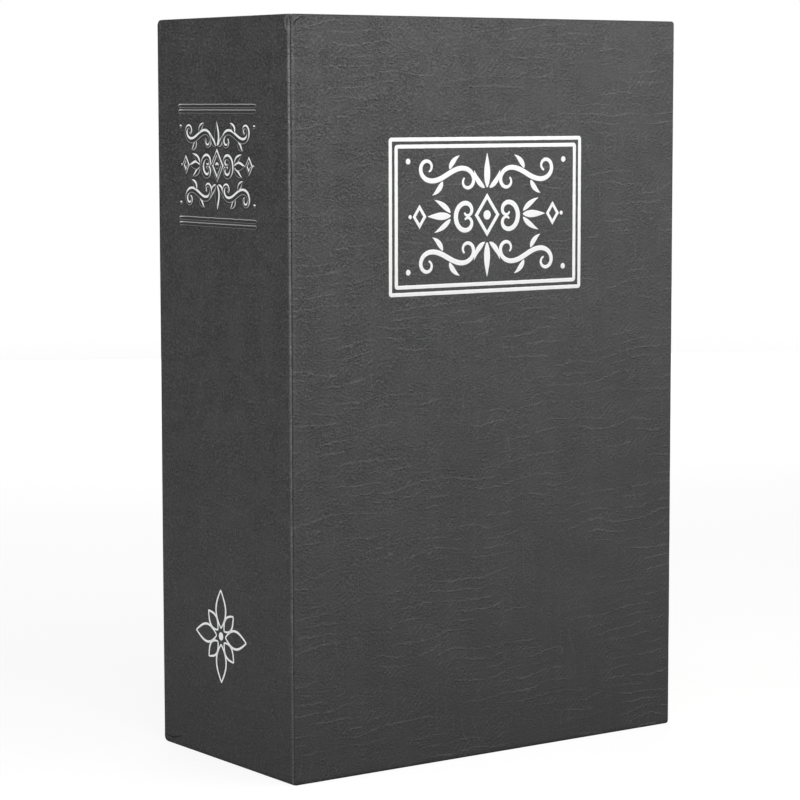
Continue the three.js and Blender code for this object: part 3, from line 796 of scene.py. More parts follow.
@dataclass
class Shell:
    """Points, faces and marks of a closed piece, in millimetres, before it becomes a mesh."""

    points: np.ndarray
    faces: np.ndarray
    caps: Sequence[np.ndarray] = ()
    pattern: Optional[np.ndarray] = None
    wear: Optional[np.ndarray] = None

    def make(self, name: str, material: bpy.types.Material, sharp_deg: float = 40.0) -> bpy.types.Object:
        """Makes the piece with merged seams, outward faces and sharp edges where it turns hard.

        Args:
            name: The piece's name.
            material: Its finish.
            sharp_deg: Edges that turn by more than this are drawn sharp.

        Returns:
            The new object, at the origin.
        """
        mesh = bpy.data.meshes.new(name)
        caps = [cap.tolist() for cap in self.caps]
        mesh.from_pydata((self.points * MM).tolist(), [], self.faces.tolist() + caps)
        if self.pattern is not None:
            layer = mesh.attributes.new(PATTERN, "FLOAT_VECTOR", "POINT")
            layer.data.foreach_set("vector", self.pattern.astype(np.float32).ravel())
        # Its marks carry wear and darker edges, and painted highlight and shade.
        if self.wear is not None:
            layer = mesh.attributes.new(WEAR_AND_PAINTED_LIGHT, "FLOAT", "POINT")
            layer.data.foreach_set("value", self.wear.astype(np.float32).ravel())
        shell = bmesh.new()
        shell.from_mesh(mesh)
        bmesh.ops.remove_doubles(shell, verts=shell.verts, dist=MERGE_M)
        bmesh.ops.dissolve_degenerate(shell, edges=shell.edges, dist=SLIVER_M)
        bmesh.ops.recalc_face_normals(shell, faces=shell.faces)
        shell.to_mesh(mesh)
        shell.free()
        mesh.shade_smooth()
        mesh.set_sharp_from_angle(angle=math.radians(sharp_deg))
        mesh.materials.append(material)
        piece = bpy.data.objects.new(name, mesh)
        bpy.context.scene.collection.objects.link(piece)
        return piece


def attach(piece: bpy.types.Object, body: Body) -> None:
    """Lets a piece of the covering ride on a body and reports it.

    Args:
        piece: The piece.
        body: What it moves with.
    """
    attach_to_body(piece, body.value)
    log.info("%s rides on %s, %d faces", piece.name, body.value, len(piece.data.polygons))


def graded(start: float, end: float, stops: Sequence[float], fine: float, coarse: float) -> np.ndarray:
    """Steps from start to end that are fine near the stops and grow by a sixth of the distance from them.

    Args:
        start: First place.
        end: Last place.
        stops: Places where the steps are fine.
        fine: Smallest step.
        coarse: Largest step.

    Returns:
        The places, rising.
    """
    places = [start]
    while places[-1] < end:
        near = min(abs(places[-1] - stop) for stop in stops)
        places.append(places[-1] + min(coarse, fine + near / 6))
    steps = np.array(places)
    return start + (steps - start) * (end - start) / (steps[-1] - start)


def waves(s: np.ndarray, v: np.ndarray, seed: int, length_mm: float, count: int = 10) -> np.ndarray:
    """A still, wavy surface: the sum of sine waves with seeded headings, lengths and phases.

    Args:
        s: Places along one way, in millimetres.
        v: Places along the other.
        seed: Seed of the draw.
        length_mm: Usual length of a wave, from which each departs by a factor of 0.6 to 1.7.
        count: Number of waves.

    Returns:
        Heights, mostly from -1 to 1, in the shape of s.
    """
    draw = np.random.default_rng(seed)
    heading = draw.uniform(0, math.pi, (count, 1))
    pitch = length_mm * draw.uniform(0.6, 1.7, (count, 1))
    phase = draw.uniform(0, 2 * math.pi, (count, 1))
    across = np.ravel(s) * np.cos(heading) + np.ravel(v) * np.sin(heading)
    total = np.sin(2 * math.pi * across / pitch + phase).sum(0)
    return total.reshape(np.shape(s)) / math.sqrt(count) / 1.5


@dataclass
class WrappedSheet:
    """Covering paper round a board, laid out flat: s runs from the crease, v up, d into the board.

    The sheet is a closed shell. Its face is a grid, and rings round the grid carry one profile over the
    edges, down them and along the turned-in margins, then back on the inner side. On the crease's side the
    profile rolls over a nose onto the mitre instead of over a square edge.

    Lengths are in millimetres. crease_round is the nose's radius, stops are places along the sheet where
    the grid is fine, thickness is the board's with its paper, and paper is the covering's own. turn_in and
    crease_turn_in are the margins' widths, border is where the face's grid ends, and sunk is how far the
    face lies under the CAD face. The rows are where the profile has its points between named places.
    crease_wear_and_highlight is how pale the crease's nose is painted, as wear and as a highlight where it
    catches the light, and edge_darkness is how dark the square edges are.
    """

    name: str
    length: float
    height: float
    crease_round: float
    stops: Sequence[float] = ()
    thickness: float = 2.9
    paper: float = 0.38
    edge_round: float = 0.5
    inner_round: float = 0.4
    corner_round: float = 0.75
    crease_corner: float = 0.25
    turn_in: float = 12.0
    crease_turn_in: float = 1.0
    border: float = 3.0
    sunk: float = 0.05
    corner_steps: int = 6
    face_rows: tuple[float, ...] = (2.2, 1.5, 0.9)
    margin_rows: tuple[Pair, ...] = ((2.0, 0.3), (6.0, 0.6))
    inner_rows: tuple[float, ...] = (2.0, 1.4, 1.0, 0.75)
    edge_steps: int = 8
    wall_steps: int = 8
    inner_steps: int = 4
    crease_wear_and_highlight: float = 0.9
    edge_darkness: float = -0.9
    seed: int = 1
    fine_step: float = 0.2
    coarse_step: float = 1.4
    slide_reach: float = 24.0
    wave: float = 0.035
    wave_length: float = 70.0
    dent: float = 0.04
    dent_length: float = 7.0
    tuck: float = 0.28
    tail_tuck: float = 0.25
    tuck_reach: float = 1.6
    board_gap: float = 0.12
    margin_lip: float = 0.12
    sharp_deg: float = 60.0

    @property
    def nose_reach(self) -> float:
        """How far from the crease the nose's circle meets the face."""
        return self.crease_round / math.tan(math.pi / 8)

    def bend(self, s: np.ndarray, v: np.ndarray, d: np.ndarray) -> np.ndarray:
        """Places on the book of points of the flat sheet."""
        raise NotImplementedError

    def crease_inset(self, depth: np.ndarray, skin: float) -> np.ndarray:
        """How far the crease's side stands back at a depth, for a skin that lies so deep in the paper.

        A circle about the nose's centre touches the face and the mitre's 45 degree line. Down to where it
        meets that line the inset follows the circle, and from there it follows the line.

        Args:
            depth: Depths into the board.
            skin: Depth in the paper, 0 for its outside.

        Returns:
            The inset at each depth.
        """
        r = self.crease_round - skin
        line = depth + skin * math.sqrt(2)
        if r <= 0:
            return line
        arc = self.nose_reach - np.sqrt(np.maximum(r * r - (depth - self.crease_round) ** 2, 0))
        return np.where(depth < self.crease_round + r * math.sqrt(0.5), arc, line)

    def profile(self) -> tuple[np.ndarray, int]:
        """The section carried round the board.

        Returns:
            Rows of square-edge inset, crease inset, depth, edge darkness, and crease marks of wear, painted
            highlight and painted shade, from the face over the edge to the margin's end and back along the
            inside, and how many of them are outside.
        """
        r, ri, t, deep = self.edge_round, self.inner_round, self.paper, self.thickness
        reach = self.nose_reach
        rows: list[tuple[float, ...]] = []
        # Beside the crease the face is painted a little paler, as wear and as highlight.
        for a in (self.border, *self.face_rows):
            share = (a - r) / (self.border - r)
            rows.append((a, reach + share * (self.border - reach), 0.0, 0.0, 0.5 * (1 - share) ** 3))
        # Over the edge, down the wall and under it.
        turn = np.linspace(0, QUARTER, self.edge_steps)
        over = np.stack([r * (1 - np.sin(turn)), r * (1 - np.cos(turn))], -1)
        down = np.linspace(r, deep - ri, self.wall_steps + 1)[1:]
        under = np.linspace(0, QUARTER, self.inner_steps + 1)[1:]
        insets = np.concatenate([over[:, 0], 0 * down, ri * (1 - np.cos(under))])
        depths = np.concatenate([over[:, 1], down, deep - ri * (1 - np.sin(under))])
        hinge = self.crease_inset(depths, 0.0)
        # The crease's nose is painted pale where it catches the light, as wear and as highlight, and darker
        # deeper in the crease, as painted shade.
        lit = np.exp(-(((depths - 0.45 * self.crease_round) / (0.55 * self.crease_round)) ** 2))
        # The square edge is painted darker over its round and down its wall.
        dark = np.concatenate([np.linspace(0.3, 1, self.edge_steps), 1 + 0 * down, 1 + 0 * under])
        edge_darkening = self.edge_darkness * dark
        worn_and_lit = self.crease_wear_and_highlight * lit - 0.3 * (depths > 1.7 * self.crease_round)
        rows += list(zip(insets, hinge, depths, edge_darkening, worn_and_lit))
        # Along the turned-in margin to its end.
        for a, h in (*self.margin_rows, (self.turn_in - 0.3, self.crease_turn_in - 0.1)):
            rows.append((a, deep + h, deep, 0.0, 0.0))
        rows.append((self.turn_in, deep + self.crease_turn_in, deep - self.margin_lip, 0.2, 0.2))
        outside = len(rows)
        # Back along the inside, up the wall and to the face's border.
        rows.append((self.turn_in, deep + self.crease_turn_in, deep - t, 0.0, 0.0))
        back = np.array([deep - t, *self.inner_rows, r])
        inner = self.crease_inset(back, t)
        rows.append((6.0, deep - t + t * math.sqrt(2) + 0.5, deep - t, 0.0, 0.0))
        rows += [(t, h, d, 0.0, 0.0) for h, d in zip(inner, back)]
        bevel = t + 0.3 * (r - t)
        rows.append((bevel, float(self.crease_inset(np.array(bevel), t)), bevel, 0.0, 0.0))
        rows.append((r, float(self.crease_inset(np.array(t), t)) + 0.1, t, 0.0, 0.0))
        rows.append((self.border, self.border, t, 0.0, 0.0))
        return np.array(rows), outside

    def slide(self, places: np.ndarray, low: np.ndarray, high: np.ndarray) -> np.ndarray:
        """Moves the ends of a row of places, by less and less up to slide_reach from each end.

        Args:
            places: The row of places, rising.
            low: Where its first place goes in each ring.
            high: Where its last place goes in each ring.

        Returns:
            A row of places for each ring.
        """
        fade_low = np.clip(1 - (places - places[0]) / self.slide_reach, 0, 1)
        fade_high = np.clip(1 - (places[-1] - places) / self.slide_reach, 0, 1)
        return places + (low[:, None] - places[0]) * fade_low + (high[:, None] - places[-1]) * fade_high

    def arc(self, across: np.ndarray, up: np.ndarray, radius: np.ndarray, begin: float) -> np.ndarray:
        """One rounded corner of every ring: a quarter circle about a centre, without its two ends.

        Args:
            across: The centre's place along the sheet in each ring.
            up: Its place up the sheet.
            radius: The corner's radius.
            begin: Angle at which it begins.

        Returns:
            Its points as s and v, for each ring and step.
        """
        angle = begin + np.linspace(0, QUARTER, self.corner_steps + 2)[1:-1]
        s = across[:, None] + radius[:, None] * np.cos(angle)
        v = up[:, None] + radius[:, None] * np.sin(angle)
        return np.stack([s, v], -1)

    def rings(self, s: np.ndarray, v: np.ndarray) -> tuple[np.ndarray, np.ndarray, int]:
        """Rings of points round the sheet, one for each row of the profile.

        Args:
            s: The grid's places along the sheet.
            v: The grid's places up it.

        Returns:
            Points as s, v, depth for each ring and place, their marks of wear, edge darkness, painted
            highlight and painted shade, and how many rings are outside.
        """
        rows, outside = self.profile()
        a, h, d, edge_darkness, crease_wear_and_highlight = rows.T
        radius = np.maximum(self.corner_round - a, 0)
        crease_radius = np.maximum(self.crease_corner - a, 0)
        low = a + radius
        high = self.height - a - radius
        fore = self.length - a - radius
        crease_low = a + crease_radius
        crease_high = self.height - a - crease_radius
        crease = h + crease_radius
        along = self.slide(s, crease, fore)
        up_fore = self.slide(v, low, high)
        up_crease = self.slide(v, crease_low, crease_high)
        parts = [
            np.stack([along, a[:, None] + 0 * along], -1),
            self.arc(fore, low, radius, -QUARTER),
            np.stack([(self.length - a)[:, None] + 0 * up_fore, up_fore], -1),
            self.arc(fore, high, radius, 0.0),
            np.stack([along[:, ::-1], (self.height - a)[:, None] + 0 * along], -1),
            self.arc(crease, crease_high, crease_radius, QUARTER),
            np.stack([h[:, None] + 0 * up_crease, up_crease[:, ::-1]], -1),
            self.arc(crease, crease_low, crease_radius, math.pi),
        ]
        edge_marks = [edge_darkness] * 5 + [crease_wear_and_highlight] * 3
        flat = np.concatenate(parts, axis=1)
        spread = [np.broadcast_to(w[:, None], p.shape[:2]) for w, p in zip(edge_marks, parts)]
        wear = np.concatenate(spread, axis=1)
        depth = np.broadcast_to(d[:, None], flat.shape[:2])
        return np.concatenate([flat, depth[..., None]], -1), wear, outside

    def relief(self, s: np.ndarray, v: np.ndarray) -> np.ndarray:
        """How the face sinks below the flat: slow waves that fade at the edges, and small dents there.

        Args:
            s: Places along the sheet.
            v: Places up the sheet.

        Returns:
            The depth at each place.
        """
        near = np.minimum(np.minimum(s, self.length - s), np.minimum(v, self.height - v))
        board = self.wave * (1 + waves(s, v, self.seed, self.wave_length)) * np.clip(near / 4, 0, 1)
        dents = self.dent * np.exp(-near / 2.0) * (1 + waves(s, v, self.seed + 7, self.dent_length))
        return board + dents

    def trim(self, s: np.ndarray, v: np.ndarray, d: np.ndarray) -> np.ndarray:
        """How far points are moved up or down where a corner of the sheet is rounded; none by itself."""
        return 0 * v

    def pinch(self, s: np.ndarray, v: np.ndarray) -> np.ndarray:
        """How far the nose's paper is pushed along the sheet where it is tucked in, and by a slight ripple.

        The push falls off exponentially from the head and the tail, and with distance from the crease.

        Args:
            s: Places along the sheet.
            v: Places up the sheet.

        Returns:
            The push at each place.
        """
        from_head, from_tail = (self.height - v) / self.tuck_reach, v / self.tuck_reach
        ends = np.exp(-from_head) + self.tail_tuck * np.exp(-from_tail)
        ripple = 0.03 * waves(0 * v, v, self.seed + 3, 6.0, 6)
        return (self.tuck * ends + ripple) * np.exp(-np.maximum(s - 0.3, 0) / 1.2)

    def wear_and_highlight_share(self, v: np.ndarray) -> np.ndarray:
        """How much of an edge's paleness is kept: more towards the head, as a painted highlight that fades
        downwards, and little where it is tucked in.
        """
        rising = 0.38 + 0.6 * np.clip(v / self.height, 0, 1) ** 1.5
        return rising * np.clip((self.height - v) / 3.5, 0.1, 1)

    def build(self, material: bpy.types.Material) -> bpy.types.Object:
        """Makes the sheet as one closed piece: the face, its rings, and the inner face behind them.

        Args:
            material: Its finish.

        Returns:
            The new piece.
        """
        ends = (0.0, self.height)
        steps = self.fine_step, self.coarse_step
        s = graded(self.border, self.length - self.border, (0.0, self.length, *self.stops), *steps)
        v = graded(self.border, self.height - self.border, ends, *steps)
        rings, wear, outside = self.rings(s, v)
        ss, vv = np.meshgrid(s, v, indexing="ij")
        face = np.stack([ss, vv, 0 * ss], -1).reshape(-1, 3)
        inside = face + (0, 0, self.paper)
        count = rings.shape[0] * rings.shape[1]
        grid = grid_faces(len(s), len(v))
        band = grid_faces(*rings.shape[:2], closed_columns=True)
        faces = np.concatenate([band, grid + count, grid + count + ss.size])
        flat = np.concatenate([rings.reshape(-1, 3), face, inside])
        in_band = np.repeat(np.arange(len(rings)) < outside, rings.shape[1])
        outer = np.concatenate([in_band, np.ones(ss.size, bool), np.zeros(ss.size, bool)])
        fade = np.clip(1 - flat[:, 2] / self.edge_round, 0, 1)
        dip = np.where(outer, self.relief(flat[:, 0], flat[:, 1]) * fade, self.board_gap * fade)
        deep = flat[:, 2] >= self.thickness - self.paper - 0.2
        sunk = np.where(deep, 0.0, self.sunk)
        along = flat[:, 0] + self.pinch(flat[:, 0], flat[:, 1]) * (flat[:, 2] < 1.2)
        up = flat[:, 1] + self.trim(flat[:, 0], flat[:, 1], flat[:, 2])
        points = self.bend(along, up, np.maximum(flat[:, 2] + sunk + dip, LEAST_DEPTH))
        # Pale marks, of wear and painted highlight, fade along the sheet; dark marks are darker edges and
        # painted shade.
        worn = np.concatenate([wear.ravel(), np.zeros(2 * ss.size)])
        worn = np.where(worn > 0, worn * self.wear_and_highlight_share(flat[:, 1]), worn)
        return Shell(points, faces, (), flat, worn).make(self.name, material, self.sharp_deg)


@dataclass
class FrontSheet(WrappedSheet):
    """The front cover's sheet: s runs along +X and depth along +Y."""

    corner: Pair = (0.0, 0.0)

    def bend(self, s: np.ndarray, v: np.ndarray, d: np.ndarray) -> np.ndarray:
        """Places on the front cover."""
        return np.stack([self.corner[0] + s, self.corner[1] + d, v], -1)


@dataclass
class CaseSheet(WrappedSheet):
    """The spine's and back cover's sheet: s runs along +Y over the spine, round its back edge, then +X."""

    corner: Pair = (0.0, 0.0)
    back: float = 0.0
    back_round: float = 0.9
    corner_trim: float = 2.0

    @property
    def straight(self) -> float:
        """Length of the flat part of the spine."""
        return self.back - self.back_round - self.corner[1]

    def bend(self, s: np.ndarray, v: np.ndarray, d: np.ndarray) -> np.ndarray:
        """Places on the spine, on the quarter circle round its back edge, or on the back cover.

        Args:
            s: Places along the sheet.
            v: Places up the sheet.
            d: Depths into the board.

        Returns:
            Points on the book; a depth past the quarter circle's radius stays square to both faces.
        """
        x0, y0, y1, r = *self.corner, self.back, self.back_round
        arc = r * QUARTER
        turn = np.clip((s - self.straight) / r, 0, QUARTER)
        radius = np.maximum(r - d, 0)
        inner = np.maximum(d, r)
        x = x0 + inner - radius * np.cos(turn)
        y = y1 - inner + radius * np.sin(turn)
        on_spine = s < self.straight
        on_back = s > self.straight + arc
        x = np.where(on_spine, x0 + d, x)
        y = np.where(on_spine, np.minimum(y0 + s, y1 - inner), y)
        x = np.where(on_back, np.maximum(x0 + r + s - self.straight - arc, x0 + inner), x)
        y = np.where(on_back, y1 - d, y)
        return np.stack([x, y, v], -1)

    def trim(self, s: np.ndarray, v: np.ndarray, d: np.ndarray) -> np.ndarray:
        """Rounds the head and tail corners of the back edge, as far as the boards inside let the paper go.

        The paper sinks by a quarter circle's drop about the edge's middle, less with depth and with distance
        from head or tail.

        Args:
            s: Places along the sheet.
            v: Places up the sheet.
            d: Depths into the board.

        Returns:
            The move at each place, up at the tail and down at the head.
        """
        middle = self.straight + self.back_round * math.pi / 4
        across = np.clip(1 - np.abs(s - middle) / self.corner_trim, 0, 1)
        drop = self.corner_trim * (1 - np.sqrt(1 - across ** 2)) * np.exp(-d / 0.35)
        at_head = np.clip(1 - (self.height - v) / 5, 0, 1)
        at_tail = np.clip(1 - v / 5, 0, 1)
        return drop * (at_tail - at_head)


@dataclass
class JointFold:
    """The paper in the crease: a band bent round the corner line, from the spine's mitre to the cover's.

    Lengths are in millimetres. half is half the band's width, the gaps keep it inside head and tail, and
    stretch is how many times wider the paper's pattern is taken, since the band is narrow.
    """

    corner: np.ndarray
    height: float
    depth: float = 0.62
    half: float = 0.2
    paper: float = 0.12
    # How pale the fold is painted: wear at the joint, and painted light that lifts the shade in the crease.
    worn: float = 0.25
    tail_gap: float = 0.12
    head_gap: float = 0.2
    ripple: float = 0.06
    ripple_length: float = 8.0
    stretch: float = 3.0
    rows: int = 90
    steps: int = 13

    def build(self, material: bpy.types.Material) -> bpy.types.Object:
        """Makes the fold.

        Its section is an arc about the corner line whose radius is the fold's depth, with the paper's
        thickness behind it.

        Args:
            material: Its finish.

        Returns:
            The new piece.
        """
        spread = math.asin(self.half / self.depth)
        turn = np.linspace(math.pi / 4 + spread, math.pi / 4 - spread, self.steps)
        ray = np.stack([np.cos(turn), np.sin(turn)], -1)
        section = np.concatenate([self.depth * ray, (self.depth + self.paper) * ray[::-1]])
        z = np.linspace(self.tail_gap, self.height - self.head_gap, self.rows)
        sway = self.ripple * waves(z, 0 * z, 5, self.ripple_length)
        flat = section[None] + sway[:, None, None] * unit(section)
        up = np.broadcast_to(z[:, None, None], (len(z), len(section), 1))
        points = np.concatenate([flat + self.corner, up], -1).reshape(-1, 3)
        wide = flat * self.stretch
        pattern = np.concatenate([wide[..., :1], up, wide[..., 1:]], -1).reshape(-1, 3)
        last = (len(z) - 1) * len(section)
        caps = (np.arange(len(section)), last + np.arange(len(section)))
        faces = grid_faces(len(z), len(section), closed_columns=True)
        worn = np.full(len(points), self.worn)
        return Shell(points, faces, caps, pattern, worn).make("joint_fold", material, sharp_deg=60.0)

    def ends(self) -> tuple[Triple, Triple]:
        """The two ends of the bend.

        Returns:
            Where the fold leaves the case and where it joins the front cover, in metres.
        """
        middle = np.append(self.corner + self.depth * math.sqrt(0.5), self.height / 2)
        aside = self.half * np.array([-1.0, 1.0, 0.0]) * math.sqrt(0.5)
        return tuple((middle + aside) * MM), tuple((middle - aside) * MM)


@dataclass
class Case:
    """The covering of the book: front cover, spine with back cover, and the fold between them.

    low and high are the corners of its box in millimetres, and crease is how far both sheets keep from the
    corner line on which the front cover turns.
    """

    low: np.ndarray
    high: np.ndarray
    crease: float = 0.08
    front: FrontSheet = field(init=False)
    case: CaseSheet = field(init=False)

    def __post_init__(self) -> None:
        """Lays out both sheets."""
        x0, y0 = float(self.low[0]), float(self.low[1])
        height = float(self.high[2] - self.low[2])
        self.front = FrontSheet(
            "front_cover_paper", float(self.high[0]) - x0 - self.crease, height, crease_round=0.1,
            crease_turn_in=2.54, crease_wear_and_highlight=0.42, seed=3, corner=(x0 + self.crease, y0),
        )
        self.case = CaseSheet(
            "case_cover_paper", 0.0, height, crease_round=0.5, crease_wear_and_highlight=1.3, seed=11,
            corner=(x0, y0 + self.crease), back=float(self.high[1]),
        )
        straight, arc = self.case.straight, self.case.back_round * QUARTER
        self.case.length = straight + arc + float(self.high[0]) - x0 - self.case.back_round
        self.case.stops = (straight, straight + arc)

    def build(self) -> None:
        """Makes the three pieces and fastens the two sheets to their bodies."""
        front = self.front.build(FRONT_PAPER.make())
        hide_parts("front_wrap")
        attach(front, Body.FRONT_COVER)
        paper = CASE_PAPER.make()
        case = self.case.build(paper)
        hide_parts("case_wrap")
        attach(case, Body.CASE)
        band = JointFold(self.low[:2], self.front.height)
        fold = band.build(paper)
        start, end = band.ends()
        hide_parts("joint_strip")
        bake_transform(fold)
        log.info("%s bends between case and front cover, %d faces", fold.name, len(fold.data.polygons))


@dataclass
class Stroke:
    """One line of tooling: its path on the sheet, its width at each point and how bright its rims are
    painted, as a highlight.
    """

    path: np.ndarray
    width: np.ndarray
    closed: bool = False
    painted_shine: Union[float, np.ndarray] = 1.0


@dataclass
class Tooling:
    """Foil strokes stamped on a sheet: each is a flat ribbon with sloping rims, closed all round.

    Places are given as u along the sheet from the crease's corner and v up the book, in millimetres.
    first_u is where the sheet begins, raised is the foil's height, rim the width of its slope,
    lower_rim_highlight the painted highlight kept by rims that face down or away from the crease, and halo
    the width of the pressed paper round a stroke.
    """

    sheet: WrappedSheet
    finish: Foil
    body: Body
    first_u: float = 0.08
    raised: float = 0.045
    rim: float = 0.2
    lower_rim_highlight: float = 1.0
    halo: float = 0.0
    edge_height: float = 0.014
    pressed_height: float = 0.008
    root_depth: float = 0.05
    sharp_deg: float = 20.0
    strokes: list[Stroke] = field(default_factory=list)

    def line(self, path: np.ndarray, width: np.ndarray, closed: bool = False) -> None:
        """Adds a stroke along a path of u, v points with a width at each."""
        self.strokes.append(Stroke(path, np.broadcast_to(width, len(path)), closed))

    def rule(self, u0: float, u1: float, v: float, width: float, painted_shine: float = 1.0) -> None:
        """Adds a straight rule with rounded ends, a little uneven in width and with a painted glint at its
        far end.

        Args:
            u0: Its near end.
            u1: Its far end.
            v: Its height up the book.
            width: Its width.
            painted_shine: How bright its rims are painted, as a highlight, away from the far end.
        """
        u = np.linspace(u0, u1, 90)
        ends = np.sqrt(np.clip(np.minimum(u - u0, u1 - u) / width * 2 + 0.2, 0, 1))
        uneven = 1 + 0.07 * waves(u, 0 * u + v, 21, 2.4)
        path = np.stack([u, v + 0.03 * waves(u, 0 * u + v, 22, 5.0)], -1)
        # A painted glint: the rims are painted brightest at the far end.
        glint = painted_shine + (1 - painted_shine) * np.exp(-(((u1 - u) / 1.4) ** 2))
        self.strokes.append(Stroke(path, width * ends * uneven, painted_shine=glint))

    def rectangle(self, low: Pair, high: Pair, width: float, corner: float = 0.35) -> None:
        """Adds a rectangular frame: four quarter circles with straight steps between them.

        Args:
            low: Its corner nearest crease and tail.
            high: The opposite corner.
            width: The line's width, which is a little uneven.
            corner: Radius of its corners.
        """
        turn = np.linspace(0, QUARTER, 6)
        right, top, left, foot = high[0] - corner, high[1] - corner, low[0] + corner, low[1] + corner
        centres = np.array([(right, top), (left, top), (left, foot), (right, foot)])
        angle = turn[None] + np.arange(4)[:, None] * QUARTER
        arcs = centres[:, None] + corner * np.stack([np.cos(angle), np.sin(angle)], -1)
        starts = arcs[:, -1:]
        stops = np.roll(arcs, -1, 0)[:, :1]
        steps = np.linspace(0, 1, 62)[1:-1][None, :, None]
        path = np.concatenate([arcs, starts + (stops - starts) * steps], axis=1).reshape(-1, 2)
        self.line(path, width * (1 + 0.045 * waves(path[:, 0], path[:, 1], 31, 1.7)), closed=True)

    def section(self) -> np.ndarray:
        """Half of a stroke's section, from outside to inside, with any pressed paper round it first.

        Returns:
            Rows of distance outside the stroke's edge, height, and 1 on the rim or 0 off it.
        """
        edge, top = self.edge_height, self.raised
        rim = [(0.0, edge, 1.0), (-self.rim, top, 1.0), (-1.05 * self.rim, top, 0.0)]
        pressed = [(self.halo, self.pressed_height, 0.0), (0.02, edge, 0.0)] if self.halo else []
        return np.array(pressed + rim)

    def ribbon(self, stroke: Stroke) -> tuple[np.ndarray, np.ndarray, np.ndarray]:
        """Carries the section along one stroke.

        Each path point gets the stroke's section, set out square to the path; at a corner the section
        follows the mitre, and where the stroke is thin its rims shrink. Rims that face up or towards the
        crease are painted brighter than the others, as a highlight.

        Args:
            stroke: The stroke.

        Returns:
            Its points as u, v and height for each path point, its faces, and the rims' painted highlight.
        """
        path = stroke.path
        before = path - np.roll(path, 1, 0)
        after = np.roll(path, -1, 0) - path
        if not stroke.closed:
            before[0] = after[0]
            after[-1] = before[-1]
        tangent = unit(unit(before) + unit(after))
        normal = np.stack([-tangent[:, 1], tangent[:, 0]], -1)
        mitre = 1 / np.maximum(np.sum(tangent * unit(after), -1), 0.5)
        half = stroke.width * 0.5
        out, height, on_rim = self.section().T
        # Rims that face up and towards the crease are painted brighter, as a highlight from above; the
        # others keep the lower share.
        up = np.clip(0.5 + 0.9 * (normal @ np.array([-0.55, 0.84])), 0, 1)
        level = self.lower_rim_highlight + (1 - self.lower_rim_highlight) * np.stack([1 - up, up], -1)
        sides = []
        for lit in level.T:
            shrink = np.minimum(0.2 + 0.8 * lit, (0.3 + 0.5 * lit) * half / self.rim)[:, None]
            sides.append((half[:, None] + np.where(out < 0, out * shrink, out)) * mitre[:, None])
        offsets = np.concatenate([-sides[0], sides[1][:, ::-1], sides[1][:, :1], -sides[0][:, :1]], axis=1)
        heights = np.concatenate([height, height[::-1], (-self.root_depth, -self.root_depth)])
        flat = path[:, None] + normal[:, None] * offsets[..., None]
        points = np.concatenate([flat, np.broadcast_to(heights, offsets.shape)[..., None]], -1)
        ends = np.zeros((len(path), 2))
        level = level * np.reshape(stroke.painted_shine, (-1, 1))
        marks = np.concatenate([level[:, :1] * on_rim, level[:, 1:] * on_rim[::-1], ends], axis=1)
        faces = grid_faces(len(path), offsets.shape[1], closed_rows=stroke.closed, closed_columns=True)
        return points, faces, marks

    def on_sheet(self, flat: np.ndarray) -> np.ndarray:
        """Lays points on the waves of the sheet.

        Args:
            flat: Rows of u, v and height above the paper.

        Returns:
            The points on the book.
        """
        s = flat[:, 0] - self.first_u
        depth = self.sheet.sunk + self.sheet.relief(s, flat[:, 1]) - flat[:, 2]
        return self.sheet.bend(s, flat[:, 1], np.maximum(depth, LEAST_DEPTH))

    def build(self, name: str) -> None:
        """Makes all strokes as one piece and fastens it.

        Args:
            name: The piece's name.
        """
        points, faces, marks, caps = [], [], [], []
        count = 0
        for stroke in self.strokes:
            flat, quads, rim = self.ribbon(stroke)
            around = flat.shape[1]
            points.append(flat.reshape(-1, 3))
            faces.append(quads + count)
            marks.append(rim.ravel())
            if not stroke.closed:
                caps.append(count + np.arange(around))
                caps.append(count + around * (len(stroke.path) - 1) + np.arange(around))
            count += around * len(stroke.path)
        placed = self.on_sheet(np.concatenate(points))
        shell = Shell(placed, np.concatenate(faces), caps, None, np.concatenate(marks))
        attach(shell.make(name, self.finish.make(), self.sharp_deg), self.body)


